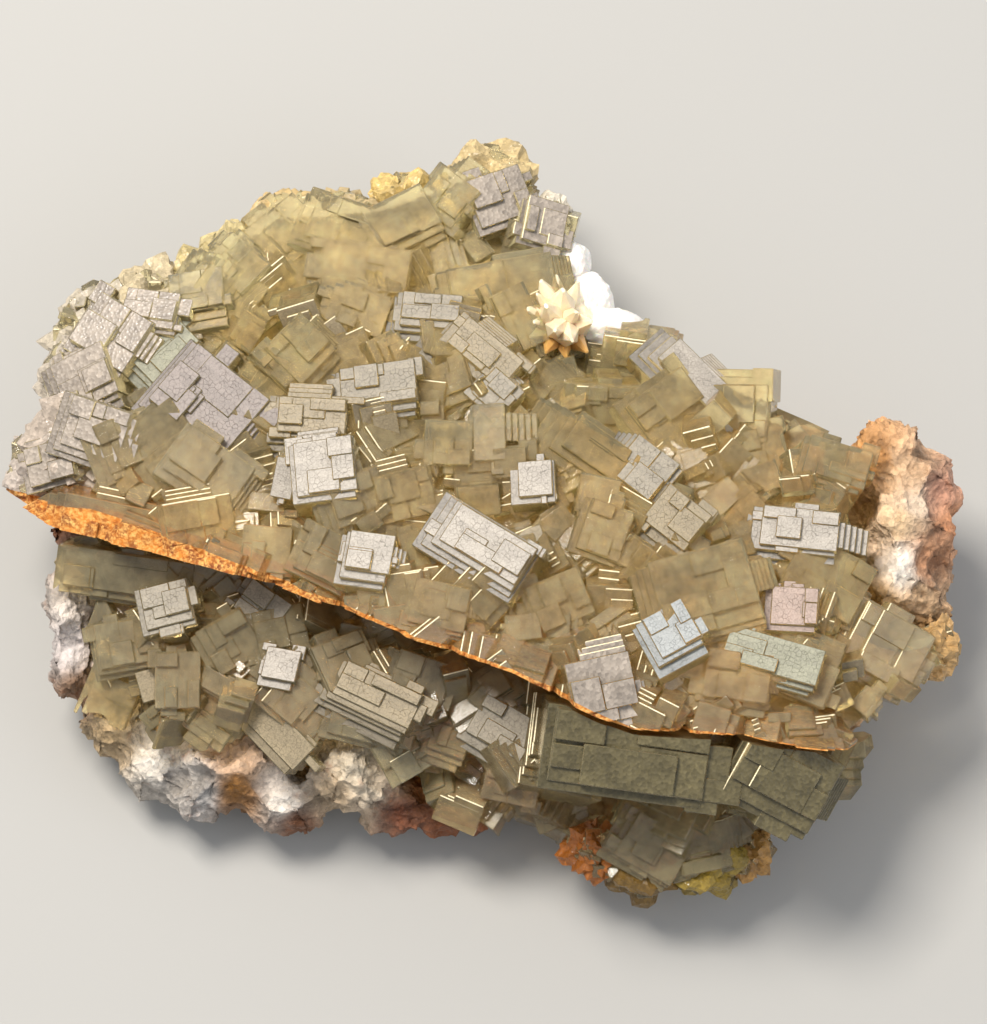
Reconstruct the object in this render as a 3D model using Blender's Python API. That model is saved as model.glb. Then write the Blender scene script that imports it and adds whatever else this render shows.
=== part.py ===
"""Rainbow fluorite on its rock: a hand-sized plate of grown-together cubes, lying on its back.

Four solids: the rock, the upper and the lower crust of fluorite, and a cluster of calcite.
The plate is 120 mm wide. +X is its right side, +Y its far side, +Z up out of the crystals,
and the origin is on the flat resting face, in the middle.
"""
import math
import random

import bmesh
import bpy
from mathutils import Matrix, Vector, noise

# Driving dimensions, in metres and degrees
MM = 0.001
PLATE_WIDTH = 120 * MM
ROCK_TOP_UNDER_UPPER = 20 * MM
ROCK_TOP_UNDER_LOWER = 6 * MM
TOUCHING_GAP = 0.3 * MM
FRACTURE_GAP = 0.8 * MM
FRACTURE_OVERHANG = 24
CORE_DEPTH_BELOW_CRYSTALS = 3 * MM
POCKET_CLEARANCE = 0.35 * MM

# The plate is laid out as it is seen from above its near side, 72 degrees up
VIEW_ELEVATION = math.radians(72)
VIEW_DISTANCE = 0.55
FRAME_CENTRE = (493.5, 512.0)
LEFT_TIP_PIXEL = 4
RIGHT_TIP_PIXEL = 969
METRES_PER_PIXEL = PLATE_WIDTH / (RIGHT_TIP_PIXEL - LEFT_TIP_PIXEL)
TARGET = Vector((0.0012, 0.0, 0.024))
RIGHT = Vector((1, 0, 0))
UP = Vector((0, math.sin(VIEW_ELEVATION), math.cos(VIEW_ELEVATION)))
TOWARDS = Vector((0, -math.cos(VIEW_ELEVATION), math.sin(VIEW_ELEVATION)))
EYE = TARGET + TOWARDS * VIEW_DISTANCE
VIEW_FRAME = Matrix((RIGHT, UP, TOWARDS)).transposed()

# The plate's outline as seen, clockwise from the left tip, with the height of its edge in mm
OUTLINE = [
    (4, 493), (8, 466), (27, 436), (50, 423), (59, 390), (60, 348), (80, 310), (99, 291),
    (148, 284), (192, 276), (214, 247), (251, 235), (257, 212), (299, 196), (345, 199),
    (366, 193), (419, 180), (467, 154), (509, 159), (526, 186), (564, 203), (562, 235),
    (578, 280), (605, 314), (633, 331), (689, 350), (748, 389), (822, 421), (879, 430),
    (896, 451), (946, 468), (969, 495), (953, 540), (965, 574), (951, 616), (943, 670),
    (901, 699), (858, 738), (839, 783), (816, 820), (759, 843), (736, 881), (660, 892),
    (610, 875), (578, 848), (530, 829), (473, 823), (418, 838), (341, 823), (262, 846),
    (198, 820), (156, 802), (116, 762), (102, 720), (70, 705), (56, 661), (53, 596),
    (38, 545), (32, 514)]
OUTLINE_STRIDE = 3
EDGE_HEIGHTS = [
    (4, 493, 21), (60, 370, 19), (100, 290, 18), (200, 265, 18), (260, 210, 18), (370, 195, 18),
    (490, 155, 17), (565, 220, 18), (605, 314, 20), (690, 350, 21), (860, 426, 22),
    (969, 495, 18), (955, 600, 16), (945, 670, 18), (860, 740, 20), (820, 820, 12),
    (740, 880, 8), (660, 892, 7), (590, 860, 7), (520, 828, 6), (420, 838, 6), (260, 846, 7),
    (160, 802, 8), (100, 715, 10), (55, 660, 12), (40, 545, 18)]

# The fracture edge that ends the upper crust, from the left tip to the right end
FRACTURE = [
    (-40, 478), (4, 493), (50, 524), (91, 537), (158, 556), (238, 574), (305, 598), (357, 617),
    (414, 640), (465, 659), (515, 675), (551, 693), (597, 717), (633, 731), (690, 735),
    (729, 736), (787, 747), (849, 752), (900, 745), (1000, 735)]

# Edge of the lower crust as seen, from the left to the right
LOWER_EDGE = [
    (55, 560), (62, 600), (90, 650), (105, 690), (140, 725), (195, 745), (250, 765), (300, 778),
    (345, 790), (400, 785), (440, 805), (510, 818), (560, 836), (605, 870),
    (650, 884), (700, 872), (740, 862), (762, 838), (812, 816), (836, 780), (850, 750)]

# Where the upper crust ends against the rock at the right end, from the far side forwards
RIGHT_EDGE = [(862, 440), (850, 480), (862, 530), (856, 580), (885, 615), (940, 640)]

# Places seen from which the whole edge of each crust can be reached in a straight line
UPPER_MIDDLE = (500, 490)
LOWER_MIDDLE = (430, 690)

# Heights of the crystal tops, as places seen and millimetres above the resting face
UPPER_HEIGHTS = [
    (30, 480, 23), (60, 400, 25), (100, 350, 26), (100, 450, 30), (200, 300, 27), (200, 450, 34),
    (200, 540, 33), (280, 230, 23), (300, 350, 33), (350, 500, 37), (420, 230, 26),
    (450, 350, 34), (490, 190, 24), (500, 450, 37), (500, 600, 37), (550, 230, 24),
    (600, 350, 26), (600, 500, 37), (640, 370, 27), (650, 700, 35), (700, 450, 33),
    (700, 600, 37), (740, 720, 34), (780, 430, 27), (800, 500, 33), (800, 650, 35),
    (850, 560, 31), (900, 660, 28), (950, 640, 22)]
LOWER_HEIGHTS = [
    (60, 560, 24), (70, 650, 18), (90, 700, 15), (160, 620, 26), (160, 720, 22), (250, 680, 25),
    (250, 760, 16), (350, 680, 26), (350, 780, 14), (300, 760, 17), (430, 700, 25),
    (450, 780, 14), (540, 740, 24), (620, 750, 33), (700, 760, 31), (560, 800, 12),
    (600, 815, 12), (640, 820, 12), (660, 850, 15), (700, 850, 15), (740, 860, 12),
    (780, 780, 29), (820, 790, 22)]

# Crystals that are easy to name: place seen, width and height of the face in mm, its turn,
# its lean to the right and away in degrees, its lift above the crust in mm, and its steps
UPPER_CRYSTALS = {
    "silver_blade": (488, 544, 11, 5.5, -31, -9, 14, 2.6, 2),
    "grey_shelf": (431, 310, 7.5, 4.5, -5, -6, 16, 1.6, 1),
    "stair_corner": (485, 352, 9, 4.5, -40, -4, 12, 1.4, 2),
    "stair_foot": (498, 392, 5, 4.5, -42, -6, 14, 0.6, 0),
    "left_silver_plate": (378, 384, 9.5, 5.5, 8, -9, 18, 1.6, 1),
    "small_silver": (535, 478, 4.2, 4.6, 5, -9, 20, 2.2, 0),
    "low_left_silver": (370, 552, 5.6, 5, -8, -6, 18, 1.8, 1),
    "yellow_cube": (606, 405, 8, 5, -2, 4, -14, 2.2, 1),
    "right_low_cube": (606, 530, 5.5, 6.5, -20, 10, 6, 1.2, 0),
    "long_stack": (612, 458, 12, 4.5, -35, 12, 8, 1.4, 2),
    "two_squares": (489, 432, 4, 7, 3, -12, 6, 1.4, 0),
    "pink_face": (448, 443, 6, 5.6, -2, -8, 4, 1.6, 0),
    "lilac_table": (209, 400, 12, 9.5, -38, -8, 16, 1.4, 1),
    "beige_table": (209, 468, 9.5, 6.5, -35, 4, 10, 1.4, 0),
    "tile_steps": (312, 415, 8.5, 4.5, -3, -6, 12, 2.0, 2),
    "sparkle_face": (325, 466, 7.5, 7, 8, -9, 18, 2.4, 1),
    "side_face": (284, 478, 3, 5, -10, -24, 6, 1.6, 0),
    "green_strip": (165, 350, 8, 5, 45, -8, 20, 1.2, 0),
    "golden_block": (301, 348, 6.5, 6.5, 45, 12, 8, 1.6, 0),
    "glint_block": (228, 292, 8, 7, -35, 6, 12, 1.4, 1),
    "far_wedge": (503, 285, 13.5, 6.5, 10, 6, 10, 1.6, 1),
    "big_crystal": (520, 318, 5, 8, 25, 14, 4, 1.4, 0),
    "far_golden_face": (358, 310, 7.5, 5, -20, -4, 16, 1.2, 0),
    "far_pale_face": (366, 270, 11, 6.5, -8, -4, 14, 1.4, 0),
    "right_top_strip": (700, 378, 11, 4, -48, 6, 20, 1.8, 1),
    "big_golden": (672, 412, 8, 9, -55, 14, 12, 1.0, 0),
    "right_slab": (800, 528, 9.5, 5, -6, -6, 14, 2.2, 2),
    "pink_film": (795, 606, 5.8, 4.8, -3, -6, 16, 2.0, 0),
    "blue_film": (672, 628, 5.6, 5.6, 30, -9, 18, 2.6, 1),
    "film_strip": (773, 655, 12, 4.6, -16, -6, 16, 1.8, 1),
    "big_clear_face": (706, 590, 12, 10, 15, 5, 6, 1.2, 0),
    "tile_steps_right": (677, 517, 6.6, 5.6, -38, -6, 10, 2.0, 2),
    "dark_tiles": (644, 468, 6.5, 6.2, -38, -6, 14, 1.8, 1),
    "ochre_wedge": (828, 578, 10, 8, -30, 8, 4, 1.4, 0),
    "left_golden": (200, 525, 8.5, 6.5, 10, 4, -6, 1.0, 0),
    "orange_feather": (110, 522, 12, 5, -12, -4, -10, 0.4, 0),
    "low_pink": (266, 549, 6, 5.6, -6, 6, 0, 1.2, 0),
    "cleaved_end": (738, 676, 8, 6, -8, -4, 4, 1.4, 1),
    "sugar_mass": (603, 690, 8, 8, 12, 8, 0, 1.8, 0),
    "striated_face": (888, 648, 10, 8, -28, 16, -4, 0.8, 0),
    "right_back_face": (760, 452, 7, 6, 12, 8, 12, 0.8, 0),
    "right_end_face": (838, 462, 8, 5, -18, 6, 16, 1.0, 0),
    "centre_face": (405, 495, 7, 6, 14, 4, -4, 0.8, 0),
    "low_centre_face": (440, 605, 7, 5.5, -12, -4, 2, 0.8, 1),
    "low_right_face": (560, 600, 7, 6, 22, 8, 2, 1.0, 0)}
LOWER_CRYSTALS = {
    "silver_corner": (166, 604, 6, 5.4, 15, -9, 16, 1.8, 1),
    "three_tiles": (262, 606, 6, 4.6, -35, -6, 8, 1.8, 2),
    "bright_chip": (281, 664, 4.4, 4, -10, -9, 18, 2.0, 0),
    "smoky_table": (116, 572, 13, 5, -8, -4, -6, 1.4, 1),
    "golden_cube": (178, 680, 5.6, 7, 0, 8, 2, 1.8, 0),
    "dark_gold": (275, 634, 8, 6.5, 12, 6, 8, 0.8, 0),
    "left_gold": (128, 642, 8, 5.6, 10, -8, 2, 1.0, 1),
    "mid_gold": (230, 642, 6.4, 6.4, 30, 6, -4, 1.2, 0),
    "stair_strip": (378, 694, 12.5, 6.5, -25, -6, 10, 1.8, 2),
    "dark_pair": (420, 680, 7, 6, -20, 6, 6, 0.8, 0),
    "dark_diamond": (502, 697, 6.5, 6, 45, 8, 4, 1.2, 0),
    "dark_tile": (504, 728, 8, 5.5, -30, -6, 8, 1.6, 1),
    "amber_cube": (451, 737, 5, 4.5, -20, -4, 2, 1.4, 1),
    "ridge_blade": (268, 722, 13, 4, -44, -14, 4, 1.8, 0),
    "pale_blade": (304, 700, 8, 7, -40, 8, -6, 1.4, 0),
    "pink_blade": (367, 722, 9, 5, -15, 4, -8, 1.2, 0),
    "grey_green": (402, 756, 6, 6, -60, 10, -6, 1.2, 0),
    "big_block": (630, 754, 19, 9, -8, 3, -4, 1.2, 1),
    "right_block": (784, 778, 12, 9.5, -28, 8, -8, 1.2, 1),
    "chip_under_block": (712, 778, 7, 5, 18, -6, 4, 0.4, 0),
    "knob_face": (655, 848, 8, 6.5, -30, -4, -4, 1.6, 1),
    "knob_side": (704, 848, 6.5, 6, 12, 10, -8, 1.2, 0),
    "hollow_face": (560, 798, 6, 5, 20, -4, 0, 1.0, 0),
    "orange_blade": (512, 786, 7, 4.5, -12, 4, -8, 1.6, 0),
    "left_low_cube": (112, 700, 6, 6, -24, -8, -4, 1.0, 0)}

# Rounded sugary lumps on the crust: place seen, radius in mm, and depth of the middle
UPPER_LUMPS = [
    (106, 334, 7.6, 5.5), (84, 376, 6.0, 4.5), (90, 432, 7.4, 5.0), (54, 464, 6.0, 4.2),
    (30, 482, 3.4, 2.8), (156, 308, 6.0, 4.6), (206, 288, 5.4, 4.0), (240, 256, 4.8, 4.0),
    (286, 226, 5.2, 4.0), (345, 224, 5.0, 4.0), (408, 210, 5.4, 4.2), (489, 190, 6.6, 5.2),
    (548, 222, 3.4, 3.2), (740, 402, 3.4, 3.0), (926, 650, 4.4, 5.0)]
LOWER_LUMPS = [
    (640, 852, 6.4, 6.0), (702, 852, 5.8, 5.4), (598, 848, 4.4, 4.6), (744, 850, 4.0, 4.2)]

# Lumps of bare rock: place seen, height of the middle in mm, and the radii in mm
ROCK_LUMPS = [
    (74, 606, 15, 4.4, 6.6, 6.5), (76, 668, 11, 4.4, 6.0, 6.4), (118, 716, 10, 6.4, 6.4, 6.4),
    (156, 768, 8, 6.0, 5.4, 6.0), (206, 798, 8, 5.4, 4.4, 5.6), (232, 764, 12, 7.6, 5.6, 6.2),
    (286, 804, 8, 7.0, 4.8, 6.0), (352, 772, 12, 7.0, 6.2, 7.0), (392, 804, 8, 6.4, 4.4, 5.0),
    (456, 812, 7, 7.4, 3.8, 4.8), (882, 466, 22, 7.0, 6.6, 8.0), (924, 494, 20, 5.4, 6.6, 9.0),
    (904, 530, 22, 7.2, 7.6, 8.5), (938, 556, 17, 3.6, 7.0, 8.0), (892, 588, 21, 7.0, 7.0, 8.0),
    (920, 614, 17, 4.4, 5.0, 7.0)]

# Calcite: rounded white lumps, and spikes that fan out from the cluster's heart
CALCITE_LUMPS = [
    (570, 268, 20.5, 2.8, 3.8, 4.2), (588, 304, 21.5, 3.4, 4.2, 4.6), (614, 336, 22.5, 4.6, 3.6, 4.4),
    (560, 326, 23.5, 4.2, 4.2, 5.0)]
CALCITE_HEART = (564, 324)
CALCITE_HEART_HEIGHT = 23.0
CALCITE_SPIKES = [
    (529, 314, 28.5), (540, 286, 28.0), (548, 348, 28.5), (562, 300, 31.0), (582, 350, 28.0),
    (592, 318, 29.5), (534, 334, 28.0), (570, 336, 32.0), (556, 278, 27.0)]
SPIKE_WIDTH = 3.6 * MM
LUMP_ROUGHNESS = 0.13
ROCK_ROUGHNESS = 3.2
KEPT_FACES = 0.8

# Small crystals that fill the crust between the named ones
FILLER_SPACING = 66
FILLER_SIZE = (6.0, 9.6)
FILLER_SEED = 11
SMALLEST_NAMED_CLEARANCE = 28
SUGARY_MARGIN = [(92, 368, 84), (52, 462, 56), (148, 306, 52), (300, 226, 58), (488, 190, 58),
                 (578, 300, 66)]
EDGE_MARGIN = 20


def place(px, py, height):
    """The point at this height that is seen at this pixel."""
    across = RIGHT * ((px - FRAME_CENTRE[0]) * METRES_PER_PIXEL)
    upwards = UP * ((FRAME_CENTRE[1] - py) * METRES_PER_PIXEL)
    ray = across + upwards - TOWARDS * VIEW_DISTANCE
    return EYE + ray * ((height - EYE.z) / ray.z)


def height_at(table, px, py):
    """Height in metres at a pixel, weighted from the table's nearest places."""
    total = 0.0
    weights = 0.0
    for x, y, height in table:
        weight = 1.0 / (math.hypot(px - x, py - y) + 12.0) ** 3
        total += weight * height
        weights += weight
    return total / weights * MM


def inside(polygon, px, py):
    """True where the pixel lies in the polygon."""
    within = False
    for (x0, y0), (x1, y1) in zip(polygon, polygon[1:] + polygon[:1]):
        if (y0 > py) != (y1 > py) and px < x0 + (py - y0) * (x1 - x0) / (y1 - y0):
            within = not within
    return within


def fracture_y(px):
    """The fracture's pixel row at a pixel column."""
    for (x0, y0), (x1, y1) in zip(FRACTURE, FRACTURE[1:]):
        if x0 <= px <= x1:
            return y0 + (px - x0) * (y1 - y0) / (x1 - x0)
    return FRACTURE[-1][1]


def upper_region():
    """The part of the outline behind the fracture, with a strip in front of it to be cut off."""
    strip = 34
    behind = [p for p in OUTLINE if p[1] < fracture_y(p[0])]
    far = [p for p in behind if p[0] < RIGHT_EDGE[0][0] and p[1] < 600]
    near = [p for p in behind if p[1] > RIGHT_EDGE[-1][1]]
    front = [(x, y + strip) for x, y in FRACTURE if LEFT_TIP_PIXEL < x < 900]
    return far + RIGHT_EDGE + near + front[::-1]


def lower_region():
    """The part in front of the fracture, with a strip behind it to be cut off."""
    strip = 46
    back = [(x, y - strip) for x, y in FRACTURE if 50 < x < 860]
    return back + LOWER_EDGE[::-1]


def new_object(name, bm):
    """A new object in the scene from a bmesh, which is freed."""
    bmesh.ops.recalc_face_normals(bm, faces=bm.faces)
    mesh = bpy.data.meshes.new(name)
    bm.to_mesh(mesh)
    bm.free()
    obj = bpy.data.objects.new(name, mesh)
    bpy.context.scene.collection.objects.link(obj)
    return obj


def keep_result(obj):
    """Make the modifiers' result the object's own mesh."""
    graph = bpy.context.evaluated_depsgraph_get()
    result = bpy.data.meshes.new_from_object(obj.evaluated_get(graph))
    obj.modifiers.clear()
    obj.data = result


def drop_slivers(obj):
    """Collapse the thin slivers that the joins leave, where they change no form."""
    modifier = obj.modifiers.new("slivers", "DECIMATE")
    modifier.ratio = KEPT_FACES
    keep_result(obj)


def apply_boolean(obj, other, operation):
    """Unite with, cut by or keep inside the other shape, which is then removed.

    The exact solver leaves open edges where this many crystals grow through each other.
    """
    modifier = obj.modifiers.new(operation.lower(), "BOOLEAN")
    modifier.operation = operation
    modifier.solver = "MANIFOLD"
    modifier.object = other
    keep_result(obj)
    bpy.data.objects.remove(other)


def unite(parts, name):
    """Grow all the parts together, two by two, into one solid."""
    while len(parts) > 1:
        pairs = list(zip(parts[::2], parts[1::2]))
        odd = parts[len(pairs) * 2:]
        for first, second in pairs:
            apply_boolean(first, second, "UNION")
        parts = [first for first, _ in pairs] + odd
    parts[0].name = name
    return parts[0]


def keep_largest_shell(obj):
    """Leave only the biggest connected shell: no cut-off chips and no sealed pockets."""
    bm = bmesh.new()
    bm.from_mesh(obj.data)
    unseen = set(bm.verts)
    shells = []
    while unseen:
        stack = [unseen.pop()]
        shell = set(stack)
        while stack:
            for edge in stack.pop().link_edges:
                for vert in edge.verts:
                    if vert in unseen:
                        unseen.remove(vert)
                        shell.add(vert)
                        stack.append(vert)
        shells.append(shell)
    largest = max(shells, key=len)
    chips = [v for v in bm.verts if v not in largest]
    bmesh.ops.delete(bm, geom=chips, context="VERTS")
    bm.to_mesh(obj.data)
    bm.free()


def lump(centre, radii, seed, grow=0.0, angular=False):
    """A rough lump: a round or an angular ball with each corner pushed in or out a little."""
    rng = random.Random(seed)
    bm = bmesh.new()
    if angular:
        bmesh.ops.create_uvsphere(bm, u_segments=7, v_segments=5, radius=1.0)
        bmesh.ops.triangulate(bm, faces=bm.faces)
    else:
        bmesh.ops.create_icosphere(bm, subdivisions=2, radius=1.0)
    for vert in bm.verts:
        swell = 1.0 + rng.uniform(-LUMP_ROUGHNESS, LUMP_ROUGHNESS)
        scaled = [axis * (radius * swell + grow) for axis, radius in zip(vert.co, radii)]
        vert.co = centre + Vector(scaled)
    return new_object("lump", bm)


def crystal_frame(centre, turn, lean_right, lean_away):
    """Matrix whose Z is the face's normal: facing the view, turned, then leant."""
    turned = Matrix.Rotation(math.radians(turn), 3, "Z")
    leant = Matrix.Rotation(math.radians(lean_right), 3, "Y")
    leant = leant @ Matrix.Rotation(math.radians(-lean_away), 3, "X")
    return Matrix.Translation(centre) @ (VIEW_FRAME @ leant @ turned).to_4x4()


def box(frame, low, high):
    """A box between two corners of the given frame."""
    low = Vector(low)
    high = Vector(high)
    size = Matrix.Diagonal((*(high - low), 1.0))
    bm = bmesh.new()
    bmesh.ops.create_cube(bm, size=1.0)
    bmesh.ops.transform(bm, matrix=frame @ Matrix.Translation((low + high) / 2) @ size,
                        verts=bm.verts)
    return new_object("box", bm)


def crystal(frame, width, height, steps, rng):
    """A cube crystal with its face at the frame's origin, and lower steps on two sides."""
    depth = max(0.8 * max(width, height), 5 * MM)
    low = Vector((-width / 2, -height / 2, -depth))
    high = Vector((width / 2, height / 2, 0))
    boxes = [box(frame, low, high)]
    for _ in range(steps):
        low = low - Vector((rng.uniform(0.8, 1.6), rng.uniform(0.8, 1.6), 0)) * MM
        high = high + Vector((rng.uniform(-0.5, 0.5), rng.uniform(-0.5, 0.5), -1.0)) * MM
        boxes.append(box(frame, low, high))
    return boxes


def named_crystals(table, heights, seed):
    """The crystals of a table, each standing on the crust at its own place."""
    rng = random.Random(seed)
    boxes = []
    for px, py, width, height, turn, lean_right, lean_away, lift, steps in table.values():
        centre = place(px, py, height_at(heights, px, py) + lift * MM)
        frame = crystal_frame(centre, turn, lean_right, lean_away)
        boxes += crystal(frame, width * MM, height * MM, steps, rng)
    return boxes


def filler_places(region, named, seed):
    """Evenly scattered places inside the region, clear of the named crystals."""
    rng = random.Random(seed)
    columns = [p[0] for p in region]
    rows = [p[1] for p in region]
    taken = []
    for _ in range(2600):
        px = rng.uniform(min(columns), max(columns))
        py = rng.uniform(min(rows), max(rows))
        corners = [(px + dx, py + dy) for dx in (-EDGE_MARGIN, EDGE_MARGIN)
                   for dy in (-EDGE_MARGIN, EDGE_MARGIN)]
        if not all(inside(region, *corner) for corner in corners):
            continue
        if any(math.hypot(px - x, py - y) < FILLER_SPACING for x, y in taken):
            continue
        if any(math.hypot(px - c[0], py - c[1]) < SMALLEST_NAMED_CLEARANCE + 2.2 * c[3]
               for c in named.values()):
            continue
        if any(math.hypot(px - x, py - y) < reach for x, y, reach in SUGARY_MARGIN):
            continue
        taken.append((px, py))
    return taken


def fillers(region, named, heights, seed):
    """Crystals between the named ones, turned alike where they are close together."""
    rng = random.Random(seed)
    boxes = []
    for px, py in filler_places(region, named, seed):
        size = rng.uniform(*FILLER_SIZE) * MM
        family = noise.noise(Vector((px, py, seed)) / 160)
        turn = family * 160 + rng.uniform(-14, 14)
        lean_right = rng.uniform(-26, 26)
        lean_away = rng.uniform(-22, 26)
        centre = place(px, py, height_at(heights, px, py) + rng.uniform(-1.5, 0.3) * MM)
        frame = crystal_frame(centre, turn, lean_right, lean_away)
        boxes += crystal(frame, size, size * rng.uniform(0.65, 1.0), 0, rng)
    return boxes


def crust_core(region, middle, heights, base):
    """The massive middle of a crust: rings that follow its top, closed down to its base."""
    middle_x, middle_y = middle
    bm = bmesh.new()
    top = bm.verts.new(place(middle_x, middle_y, height_at(heights, middle_x, middle_y)
                             - CORE_DEPTH_BELOW_CRYSTALS))
    rings = []
    edge = region[::2]
    for reach, drop in ((0.5, 0.0), (0.86, 0.3 * MM), (0.97, 2.0 * MM)):
        ring = []
        for x, y in edge:
            px = middle_x + (x - middle_x) * reach
            py = middle_y + (y - middle_y) * reach
            crest = height_at(heights, px, py) - CORE_DEPTH_BELOW_CRYSTALS - drop
            ring.append(bm.verts.new(place(px, py, crest)))
        rings.append(ring)
    foot = []
    for vert in rings[-1]:
        foot.append(bm.verts.new((vert.co.x * 0.98, vert.co.y * 0.98, base - 2 * MM)))
    rings.append(foot)
    bottom = bm.verts.new((top.co.x, top.co.y, base - 2 * MM))
    count = len(edge)
    for i in range(count):
        j = (i + 1) % count
        bm.faces.new((top, rings[0][i], rings[0][j]))
        for inner, outer in zip(rings, rings[1:]):
            bm.faces.new((inner[i], outer[i], outer[j], inner[j]))
        bm.faces.new((foot[i], bottom, foot[j]))
    bmesh.ops.triangulate(bm, faces=bm.faces)
    return new_object("core", bm)


def fracture_block(name, side, base, forward=0.0):
    """All space on one side of the leaning fracture wall, above a base height."""
    lid = 70 * MM
    far = side * 90 * MM
    lean = math.tan(math.radians(FRACTURE_OVERHANG))
    bm = bmesh.new()
    walls = []
    for level in (base, lid):
        wall = []
        for px, py in FRACTURE:
            crest = height_at(UPPER_HEIGHTS, px, py) + 1 * MM
            edge = place(px, py, crest)
            y = edge.y + (crest - level) * lean - forward
            wall.append(bm.verts.new((edge.x, y, level)))
        wall.append(bm.verts.new((wall[-1].co.x, far, level)))
        wall.append(bm.verts.new((wall[0].co.x, far, level)))
        walls.append(wall)
    low, high = walls
    bm.faces.new(low)
    bm.faces.new(high[::-1])
    for i in range(len(low)):
        j = (i + 1) % len(low)
        bm.faces.new((low[i], low[j], high[j], high[i]))
    bmesh.ops.triangulate(bm, faces=bm.faces)
    return new_object(name, bm)


def rock_lumps(name, grow=0.0):
    """The rock's lumps as one shape, or its slightly larger copy that cuts their pockets."""
    lumps = []
    for index, (px, py, height, *radii) in enumerate(ROCK_LUMPS):
        sizes = [radius * MM for radius in radii]
        lumps.append(lump(place(px, py, height * MM), sizes, index, grow, angular=True))
    return unite(lumps, name)


def spike(foot, tip, width, grow=0.0):
    """A calcite spike: six faces that meet in a point, like a dog's tooth."""
    axis = tip - foot
    turn = axis.to_track_quat("Z", "Y").to_matrix().to_4x4()
    length = axis.length + grow
    bm = bmesh.new()
    bmesh.ops.create_cone(bm, cap_ends=True, segments=6, radius1=width / 2 + grow,
                          radius2=0.12 * width + grow, depth=length)
    move = Matrix.Translation(foot) @ turn @ Matrix.Translation((0, 0, length / 2))
    bmesh.ops.transform(bm, matrix=move, verts=bm.verts)
    return new_object("spike", bm)


def calcite_shape(name, grow=0.0):
    """The calcite's lumps and spikes, or its slightly larger copy that cuts their pocket."""
    parts = []
    for index, (px, py, height, *radii) in enumerate(CALCITE_LUMPS):
        sizes = [radius * MM for radius in radii]
        parts.append(lump(place(px, py, height * MM), sizes, 100 + index, grow))
    heart = place(*CALCITE_HEART, CALCITE_HEART_HEIGHT * MM)
    for px, py, height in CALCITE_SPIKES:
        tip = place(px, py, height * MM)
        parts.append(spike(heart.lerp(tip, 0.25), tip, SPIKE_WIDTH, grow))
    return unite(parts, name)


def rock_slab(name):
    """The rock's body: rings of the plate's outline, wider as they rise from the flat back."""
    centre = place(470, 520, 10 * MM)
    levels = ((0, 8.0), (3, 4.4), (9, 1.8), (15, 2.6), (20, 3.4))
    bm = bmesh.new()
    rings = []
    for height, inset in levels:
        ring = []
        for px, py in OUTLINE[::OUTLINE_STRIDE]:
            edge = place(px, py, height_at(EDGE_HEIGHTS, px, py))
            outwards = Vector((edge.x - centre.x, edge.y - centre.y, 0))
            rough = noise.noise(Vector((px, py, height * 14)) / 70) * ROCK_ROUGHNESS
            reach = outwards.length - (inset + rough) * MM
            spot = centre + outwards.normalized() * reach
            ring.append(bm.verts.new((spot.x, spot.y, height * MM)))
        rings.append(ring)
    bm.faces.new(rings[0][::-1])
    bm.faces.new(rings[-1])
    count = len(rings[0])
    for lower, upper in zip(rings, rings[1:]):
        for i in range(count):
            j = (i + 1) % count
            bm.faces.new((lower[i], lower[j], upper[j], upper[i]))
    bmesh.ops.triangulate(bm, faces=bm.faces)
    return new_object(name, bm)


def crust(name, region, middle, table, lumps, heights, base, seed):
    """A crust before its cuts: core, named crystals, fillers and lumps grown together."""
    parts = [crust_core(region, middle, heights, base)]
    parts += named_crystals(table, heights, seed)
    parts += fillers(region, table, heights, seed + FILLER_SEED)
    for index, (px, py, radius, depth) in enumerate(lumps):
        middle = height_at(heights, px, py) + (1.0 - depth) * MM
        radii = [radius * MM, radius * MM, depth * MM]
        parts.append(lump(place(px, py, middle), radii, 50 + index))
    return unite(parts, name)


def paint(obj, name, colour, roughness):
    """A plain material in the mineral's main colour."""
    material = bpy.data.materials.new(name)
    material.use_nodes = True
    shader = material.node_tree.nodes["Principled BSDF"]
    shader.inputs["Base Color"].default_value = (*colour, 1)
    shader.inputs["Roughness"].default_value = roughness
    shader.inputs["Metallic"].default_value = 0.0
    obj.data.materials.clear()
    obj.data.materials.append(material)


def build_rock():
    """The rock: slab, lower under the front shelf, with its lumps and the calcite's pocket."""
    slab = rock_slab("slab")
    apply_boolean(slab, fracture_block("front", -1, ROCK_TOP_UNDER_LOWER), "DIFFERENCE")
    rock = unite([slab, rock_lumps("lumps")], "matrix_rock")
    below = box(Matrix.Identity(4), (-0.1, -0.1, -0.05), (0.1, 0.1, 0))
    apply_boolean(rock, below, "DIFFERENCE")
    apply_boolean(rock, calcite_shape("pocket", POCKET_CLEARANCE), "DIFFERENCE")
    keep_largest_shell(rock)
    drop_slivers(rock)
    paint(rock, "iron_stained_rock", (0.42, 0.25, 0.13), 0.85)


def build_upper_fluorite():
    """The upper crust, cut by the fracture and fitted round the rock and the calcite."""
    base = ROCK_TOP_UNDER_UPPER + TOUCHING_GAP
    upper = crust("upper_fluorite", upper_region(), UPPER_MIDDLE, UPPER_CRYSTALS,
                  UPPER_LUMPS, UPPER_HEIGHTS, base, 1)
    apply_boolean(upper, fracture_block("behind", 1, base), "INTERSECT")
    apply_boolean(upper, rock_lumps("pockets", POCKET_CLEARANCE), "DIFFERENCE")
    apply_boolean(upper, calcite_shape("pocket", POCKET_CLEARANCE), "DIFFERENCE")
    keep_largest_shell(upper)
    drop_slivers(upper)
    paint(upper, "golden_fluorite", (0.50, 0.40, 0.22), 0.15)


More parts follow.
